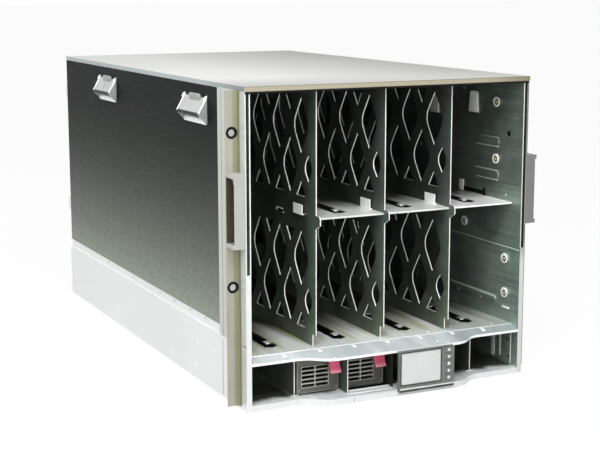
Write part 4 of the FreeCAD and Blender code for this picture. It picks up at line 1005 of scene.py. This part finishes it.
class RACK_OT_wall_details(Step, bpy.types.Operator):
    """Tabs, slots, stud centres, seams with painted rib highlights, and small marks of the inner walls"""
    bl_idname = "rack.wall_details"
    bl_label = "Wall Details"

    studs = ((-338.5, 400.0), (-339.5, 315.0), (-256.5, 208.0), (-368.5, 168.0), (-370.5, 116.0))
    dots = ((-366.9, 263.8), (-248.3, 414.3), (-242.5, 95.6), (-304.6, 95.2), (-112.7, 94.5), (-120.6, 314.2))
    holes = ((-371.5, 355.5, 4.4), (-380.0, 45.5, 2.0), (-383.0, 20.0, 2.0))
    tabs = (((-251.7, -239.5), (255, 272)), ((-383, -365), (92, 95)))
    strips = (((-347.5, -338.5), (12, 47)), ((-363.6, -359), (16, 51)), ((-390, -388), (11, 61)))
    # Bright bars, most of them painted highlights along the edges of the pressed ribs
    lines = (
        ((-404, -215), (184.9, 186.9), 0.5), ((-345, -300), (346.4, 347.4), 2.3),
        ((-345, -285), (332.6, 334.0), 2.3), ((-345, -285), (296.4, 297.6), 2.3),
        ((-345, -290), (282.4, 283.8), 2.3), ((-344, -207), (103.4, 106.4), 2.4),
    )
    upper_tab, slot, hook = ((-290, -267), (380, 412)), ((-308, -247), (256, 262)), ((-312, -308), (255, 267))
    ahead = -2.6

    def bright_pieces(self):
        upper = block("right_wall_tabs", (INNER - 2.6, INNER), *self.upper_tab)
        taper(UP, (1, 0.7, 1), (INNER, -279, 412))
        pick_edges(lambda middle, run: middle.z > 411 and abs(run.x) > 0.9)
        soften(4.0, 4)
        pick_faces(lambda middle, normal: normal.y > 0.5)
        grow((1.7, 1, 1), (INNER, 0, 0))
        upper = close(upper, 0.6)
        pieces = [upper, copy_to(upper, 0, 114, -10)]
        for y, z in self.tabs:
            pieces.append(rounded_bar("right_wall_tab", (INNER - 1.6, INNER), y, z, X, 1.2, 0.4))
        for y, z in self.strips:
            pieces.append(rounded_bar("right_bay_strip", (INNER - 0.4, INNER), y, z, X, 0.8, 0.15))
        dot = button_head("right_wall_dot", (INNER, *self.dots[0]), 1.3, 1.0, X, 0.3, 10)
        pieces.append(repeated_at(dot, [(INNER, *place) for place in self.dots]))
        return joined(pieces)

    # Bright bars, most of them painted highlights along the ribs
    def seams(self):
        return joined([
            rounded_bar("right_wall_seams", (INNER - reach, INNER), y, z, Y, 0.3, 0.05)
            for y, z, reach in self.lines])

    def dark_pieces(self):
        slot = rounded_bar("right_wall_slots", (INNER - 0.2, INNER), *self.slot, X, 1.5, 0.05)
        hook = rounded_bar("right_wall_hook", (INNER - 2, INNER), *self.hook, X, 1.2, 0.4)
        pieces = [slot, hook]
        for y, z, radius in self.holes:
            pieces.append(button_head("right_wall_hole", (INNER, y, z), radius, 0.4, X, 0.1, 14))
        for y, z in self.studs:
            pieces.append(button_head(
                "right_stud_ring", (INNER - 3.05, y + self.ahead, z), 4.5, 0.4, X, 0.1, 20))
        return joined(pieces)

    def work(self, scene):
        y, z = self.studs[0]
        centre = button_head("right_stud_centres", (INNER - 3.15, y + self.ahead, z), 2.6, 0.5, X, 0.15, 14)
        centres = repeated_at(centre, [(INNER, *place) for place in self.studs])
        soft_node("wall_studs", 1.0 * MM)
        seams = self.seams()
        for piece, finish in (
            (self.bright_pieces(), "stud steel"), (self.dark_pieces(), "dark mark"), (centres, "brass"),
            (seams, "seam zinc"),
        ):
            dress_pair(piece, finish)


class RACK_OT_hook_slot(Step, bpy.types.Operator):
    """Open slot for the hook of the missing shelf, with a painted highlight along its rim, in the left
    divider
    """
    bl_idname = "rack.hook_slot"
    bl_label = "Hook Slot"

    slot = ((-280, -258), (249, 253))
    # Bright bars as a painted highlight along the rim of the slot
    rim = (((-279, -256), (252.8, 254.2)), ((-259, -255.5), (249.4, 253.6)), ((-281, -277), (247.8, 249.2)))

    def work(self, scene):
        face = -ZONE_PITCH - DIVIDER_SHEET / 2
        slot = rounded_bar("hook_slot", (face - 0.1, face + 0.2), *self.slot, X, 1.2, 0.03)
        dress(slot, "dark mark")
        highlight_rims = [
            rounded_bar("hook_slot_rim", (face - 0.5, face + 0.2), y, z, X, 0.5, 0.15)
            for y, z in self.rim]
        dress(joined(highlight_rims), "stud steel")


class RACK_OT_supply_fronts(Step, bpy.types.Operator):
    """Grille, rim and screws on the face of each power supply"""
    bl_idname = "rack.supply_fronts"
    bl_label = "Supply Fronts"

    grille_middle, grille_size, bar_half = (28.5, 32.8), (43, 31), 0.9
    screw_inset, screw_low, screw_rise = 4.2, 14.5, 38.5

    def grille(self, left):
        clear()
        bpy.ops.mesh.primitive_grid_add(
            x_subdivisions=2, y_subdivisions=5, size=1, rotation=(math.pi / 2, 0, 0),
            location=metres((left + self.grille_middle[0], SUPPLY_FACE, self.grille_middle[1])))
        bpy.context.object.scale = (*metres(self.grille_size), 1)
        piece = open_new("supply_grille")
        bpy.ops.mesh.select_all(action="SELECT")
        bpy.ops.mesh.inset(thickness=self.bar_half * MM, use_individual=True)
        bpy.ops.mesh.delete(type="FACE")
        bpy.ops.mesh.select_all(action="SELECT")
        pull(0, -0.7, 0)
        return close(piece, 0.15)

    def work(self, scene):
        soft = scene.rack_fittings.soft_edge
        for name, (left, right) in SUPPLIES.items():
            body = f"supply_{name}"
            grille = self.grille(left)
            grille.name = f"{body}_grille"
            dress(grille, "grille grey", body)
            rim = block(f"{body}_rim", (left + 0.5, right - 0.5), (SUPPLY_FACE, SUPPLY_FACE - 0.8),
                        (SUPPLY_LOW + 0.5, SUPPLY_HIGH - 0.5))
            hollow(FORWARD, 1.5)
            dress(close(rim, 0.25), "rim grey", body)
            corner = (left + self.screw_inset, SUPPLY_FACE - 0.3, self.screw_low)
            screw = button_head(f"{body}_screws", corner, 1.6, 1.2, Y, 0.3)
            screws = repeated(screw, [(0, 0, self.screw_rise), (right - left - 2 * self.screw_inset, 0, 0)])
            dress(screws, "rim grey", body)
            soft_node(f"{body}_latch", soft)


class RACK_OT_display_front(Step, bpy.types.Operator):
    """Bezel, a bright bar as a painted highlight at the hinge, buttons and their icons on the display"""
    bl_idname = "rack.display_front"
    bl_label = "Display Front"

    width, trim_height, foot_height = (-1.8, 86.2), (9.4, 11.2), (5.9, 8.7)
    screen_width, screen_height = (-1.6, 66.2), (15.0, 64.2)
    turns = {"up": 0, "down": 180, "select": 45, "right": -90, "left": 90}

    def icon(self, name, z):
        x = sum(BUTTON_X) / 2
        sides = 4 if name == "select" else 3
        piece = round_bar(f"icon_{name}", (x, DISPLAY_FACE - 0.6, z), 2.8, 0.4, Y, sides)
        turn(math.radians(self.turns[name]), Y, (x, DISPLAY_FACE, z))
        return close(piece, 0.08)

    def work(self, scene):
        soft_node("display_housing", 0.4 * MM)
        back = DISPLAY_FACE + 0.3
        bezel = block("screen_bezel", self.screen_width, (back, DISPLAY_FACE - 0.4), self.screen_height)
        hollow(FORWARD, 1.9)
        dress(close(bezel, 0.2), "dark frame", "display")
        # A bright bar as a painted highlight along the rounded lower edge of the housing
        highlight_bar = rounded_bar(
            "hinge_trim", self.width, (back, DISPLAY_FACE - 0.5), self.trim_height, X, 0.5, 0.1)
        dress(highlight_bar, "bright steel", "display")
        foot = rounded_bar(
            "hinge_foot", self.width, (back, DISPLAY_FACE - 0.3), self.foot_height, X, 0.3, 0.1)
        dress(foot, "dark frame", "display")
        for name, z in BUTTONS.items():
            pad = block(
                f"button_pad_{name}", BUTTON_X, (DISPLAY_FACE + 1.7, DISPLAY_FACE - 0.5), (z - 4.2, z + 4.2))
            pick_edges(along(Y))
            soften(1.2, 3)
            pick_faces(facing(FORWARD))
            bpy.ops.mesh.inset(thickness=0.9 * MM)
            shift(0, 0.15, 0)
            dress(close(pad, 0.15), "button rubber", f"{name}_key")
            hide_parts(f"button_{name}")
            dress(self.icon(name, z), "icon ink", f"{name}_key")


class RACK_OT_rear_fittings(Step, bpy.types.Operator):
    """Fan guards, cover screws and the dark gaskets behind the seams at the rear"""
    bl_idname = "rack.rear_fittings"
    bl_label = "Rear Fittings"

    wire, rings = 0.9, (11.0, 20.0, 29.0, 38.0)
    gasket_width, gasket_height, gasket_pitch = (-214, 214), (207.6, 211.6), 46.4

    def guard(self):
        x, y, z = hub = (-FAN_X, REAR_FACE + 1.1, FAN_Z["lower"])
        pieces = []
        for radius in self.rings:
            ring = section("fan_guards", (x + radius, y, z), self.wire, 8)
            turn(math.pi / 2, Y, (x + radius, y, z))
            bpy.ops.mesh.spin(steps=48, angle=2 * math.pi, center=metres(hub), axis=BACKWARD)
            pieces.append(close(ring))
        for quarter in range(4):
            bar = round_bar("guard_bar", (x + 24.5, y, z), self.wire, 29, X, 8)
            turn(math.radians(45 + 90 * quarter), Y, hub)
            pieces.append(close(bar))
        return joined(pieces)

    def work(self, scene):
        guard = self.guard()
        rise = FAN_Z["upper"] - FAN_Z["lower"]
        guards = repeated(guard, [(2 * FAN_X, 0, 0), (0, 0, rise), (2 * FAN_X, 0, rise)])
        dress(guards, "bright steel")
        gasket = rounded_bar(
            "rear_gaskets", self.gasket_width, (REAR_FACE - 2.2, REAR_FACE - 1.5), self.gasket_height,
            X, 0.25, 0.1)
        gaskets = repeated(gasket, [(0, 0, self.gasket_pitch), (0, 0, 2 * self.gasket_pitch)])
        dress(gaskets, "dark mark")
        radius = scene.rack_fittings.screw_radius / MM
        y = REAR_FACE + 0.6
        heads = [(x + side, y, z) for x in (-108.0, 108.0) for z in (186.0, 232.0, 279.0, 325.0)
                 for side in (-96.0, 96.0)]
        heads += [(x, y, z + off) for x in (-87.0, 0.0, 87.0) for z in FAN_Z.values()
                  for off in (-34.0, 34.0)]
        screw = round_bar("rear_screws", heads[0], radius, 1.4, Y, 16)
        pick_faces(facing(BACKWARD))
        bpy.ops.mesh.inset(thickness=0.8 * MM)
        shift(0, -0.4, 0)
        screws = repeated_at(close(screw, 0.3), heads)
        dress(screws, "bright steel")


class RACK_OT_stage(Step, bpy.types.Operator):
    """Pale floor, white surround, soft lamps and the camera"""
    bl_idname = "rack.stage"
    bl_label = "Stage"

    # Place, goal and size of each lamp
    lamps = {
        "key": ((-1.8, -1.6, 1.5), (0, 0, 0.2), 1.4),
        "front": ((-0.4, -1.3, 1.7), (0.0, -0.35, 0.15), 1.0),
        "fill": ((-1.0, -2.2, 0.7), (0.0, -0.2, 0.25), 0.8),
        "rear": ((-1.5, 2.3, 1.5), (0, 0, 0.2), 1.6),
    }
    camera_place, camera_turn = (-0.9377, -2.0505, 0.58), (79.78, 0.08, -25.8)
    camera_lens, camera_sensor = 82.33, 36.0
    floor_size, floor_drop, floor_glow = 60, 0.0005, 0.94

    def backdrop_factor(self, nodes):
        rays = nodes.add("ShaderNodeLightPath").outputs
        seen = nodes.sums("MAXIMUM", rays["Is Camera Ray"], rays["Is Glossy Ray"])
        return nodes.sums("MAXIMUM", seen, rays["Is Transmission Ray"])

    def floor(self):
        clear()
        bpy.ops.mesh.primitive_plane_add(size=self.floor_size, location=(0, 0, -self.floor_drop))
        ground = bpy.context.object
        ground.name = "floor"
        finish = bpy.data.materials.new("pale floor")
        finish.use_nodes = True
        tree = finish.node_tree
        nodes = Nodes(tree)
        shader = tree.nodes["Principled BSDF"]
        shader.inputs["Base Color"].default_value = (0.9, 0.9, 0.9, 1)
        shader.inputs["Roughness"].default_value = 0.9
        shader.inputs["Specular IOR Level"].default_value = 0.0
        glow = nodes.add("ShaderNodeEmission", {"Color": (1, 1, 1, 1), "Strength": 1.0})
        share = nodes.times(self.backdrop_factor(nodes), self.floor_glow)
        both = nodes.add("ShaderNodeMixShader", {0: share, 1: shader.outputs[0], 2: glow.outputs[0]})
        tree.links.new(both.outputs[0], tree.nodes["Material Output"].inputs["Surface"])
        ground.data.materials.append(finish)

    def surround(self, scene, strength):
        world = bpy.data.worlds.new("surround")
        world.use_nodes = True
        tree = world.node_tree
        back = tree.nodes["Background"]
        nodes = Nodes(tree)
        level = nodes.ramp(self.backdrop_factor(nodes), 0, 1, strength, 1.0)
        back.inputs["Color"].default_value = (1, 1, 1, 1)
        tree.links.new(level, back.inputs["Strength"])
        scene.world = world

    def lamp(self, name, place, goal, size, power):
        bpy.ops.object.light_add(type="AREA", location=place)
        lamp = bpy.context.object
        lamp.name = name
        lamp.data.size = size
        lamp.data.energy = power
        lamp.rotation_euler = (Vector(goal) - Vector(place)).to_track_quat("-Z", "Y").to_euler()

    def work(self, scene):
        values = scene.rack_stage
        scene.view_settings.view_transform = "Standard"
        self.floor()
        self.surround(scene, values.sky_strength)
        for name, setting in self.lamps.items():
            self.lamp(f"{name} lamp", *setting, getattr(values, f"{name}_power"))
        bpy.ops.object.camera_add(
            location=self.camera_place, rotation=[math.radians(angle) for angle in self.camera_turn])
        camera = bpy.context.object
        camera.data.lens = self.camera_lens
        camera.data.sensor_width = self.camera_sensor
        scene.camera = camera


class RACK_PT_dressing(bpy.types.Panel):
    bl_idname = "RACK_PT_dressing"
    bl_label = "Rack Enclosure"
    bl_space_type = "VIEW_3D"
    bl_region_type = "UI"
    bl_category = "Rack"

    def draw(self, context):
        layout = self.layout
        for group in (context.scene.rack_finishes, context.scene.rack_fittings, context.scene.rack_stage):
            box = layout.box()
            for key in group.bl_rna.properties.keys():
                if key not in ("rna_type", "name"):
                    box.prop(group, key)
        for step in STEPS:
            layout.operator(step.bl_idname)


STEPS = (
    RACK_OT_dividers, RACK_OT_walls, RACK_OT_outer_sheets, RACK_OT_decks, RACK_OT_mouldings,
    RACK_OT_floor_front, RACK_OT_slot_shades, RACK_OT_tray_front, RACK_OT_side_fittings,
    RACK_OT_lift_details, RACK_OT_grip_linings, RACK_OT_wall_details, RACK_OT_hook_slot,
    RACK_OT_supply_fronts, RACK_OT_display_front, RACK_OT_rear_fittings, RACK_OT_stage,
)
GROUPS = {"rack_finishes": RackFinishes, "rack_fittings": RackFittings, "rack_stage": RackStage}
CLASSES = (*GROUPS.values(), *STEPS, RACK_PT_dressing)


def register():
    for item in CLASSES:
        bpy.utils.register_class(item)
    for name, group in GROUPS.items():
        setattr(bpy.types.Scene, name, bpy.props.PointerProperty(type=group))


def unregister():
    for name in GROUPS:
        delattr(bpy.types.Scene, name)
    for item in reversed(CLASSES):
        bpy.utils.unregister_class(item)


def main():
    register()
    for step in STEPS:
        group, name = step.bl_idname.split(".")
        getattr(getattr(bpy.ops, group), name)()
    clear()


if __name__ == "__main__":
    main()
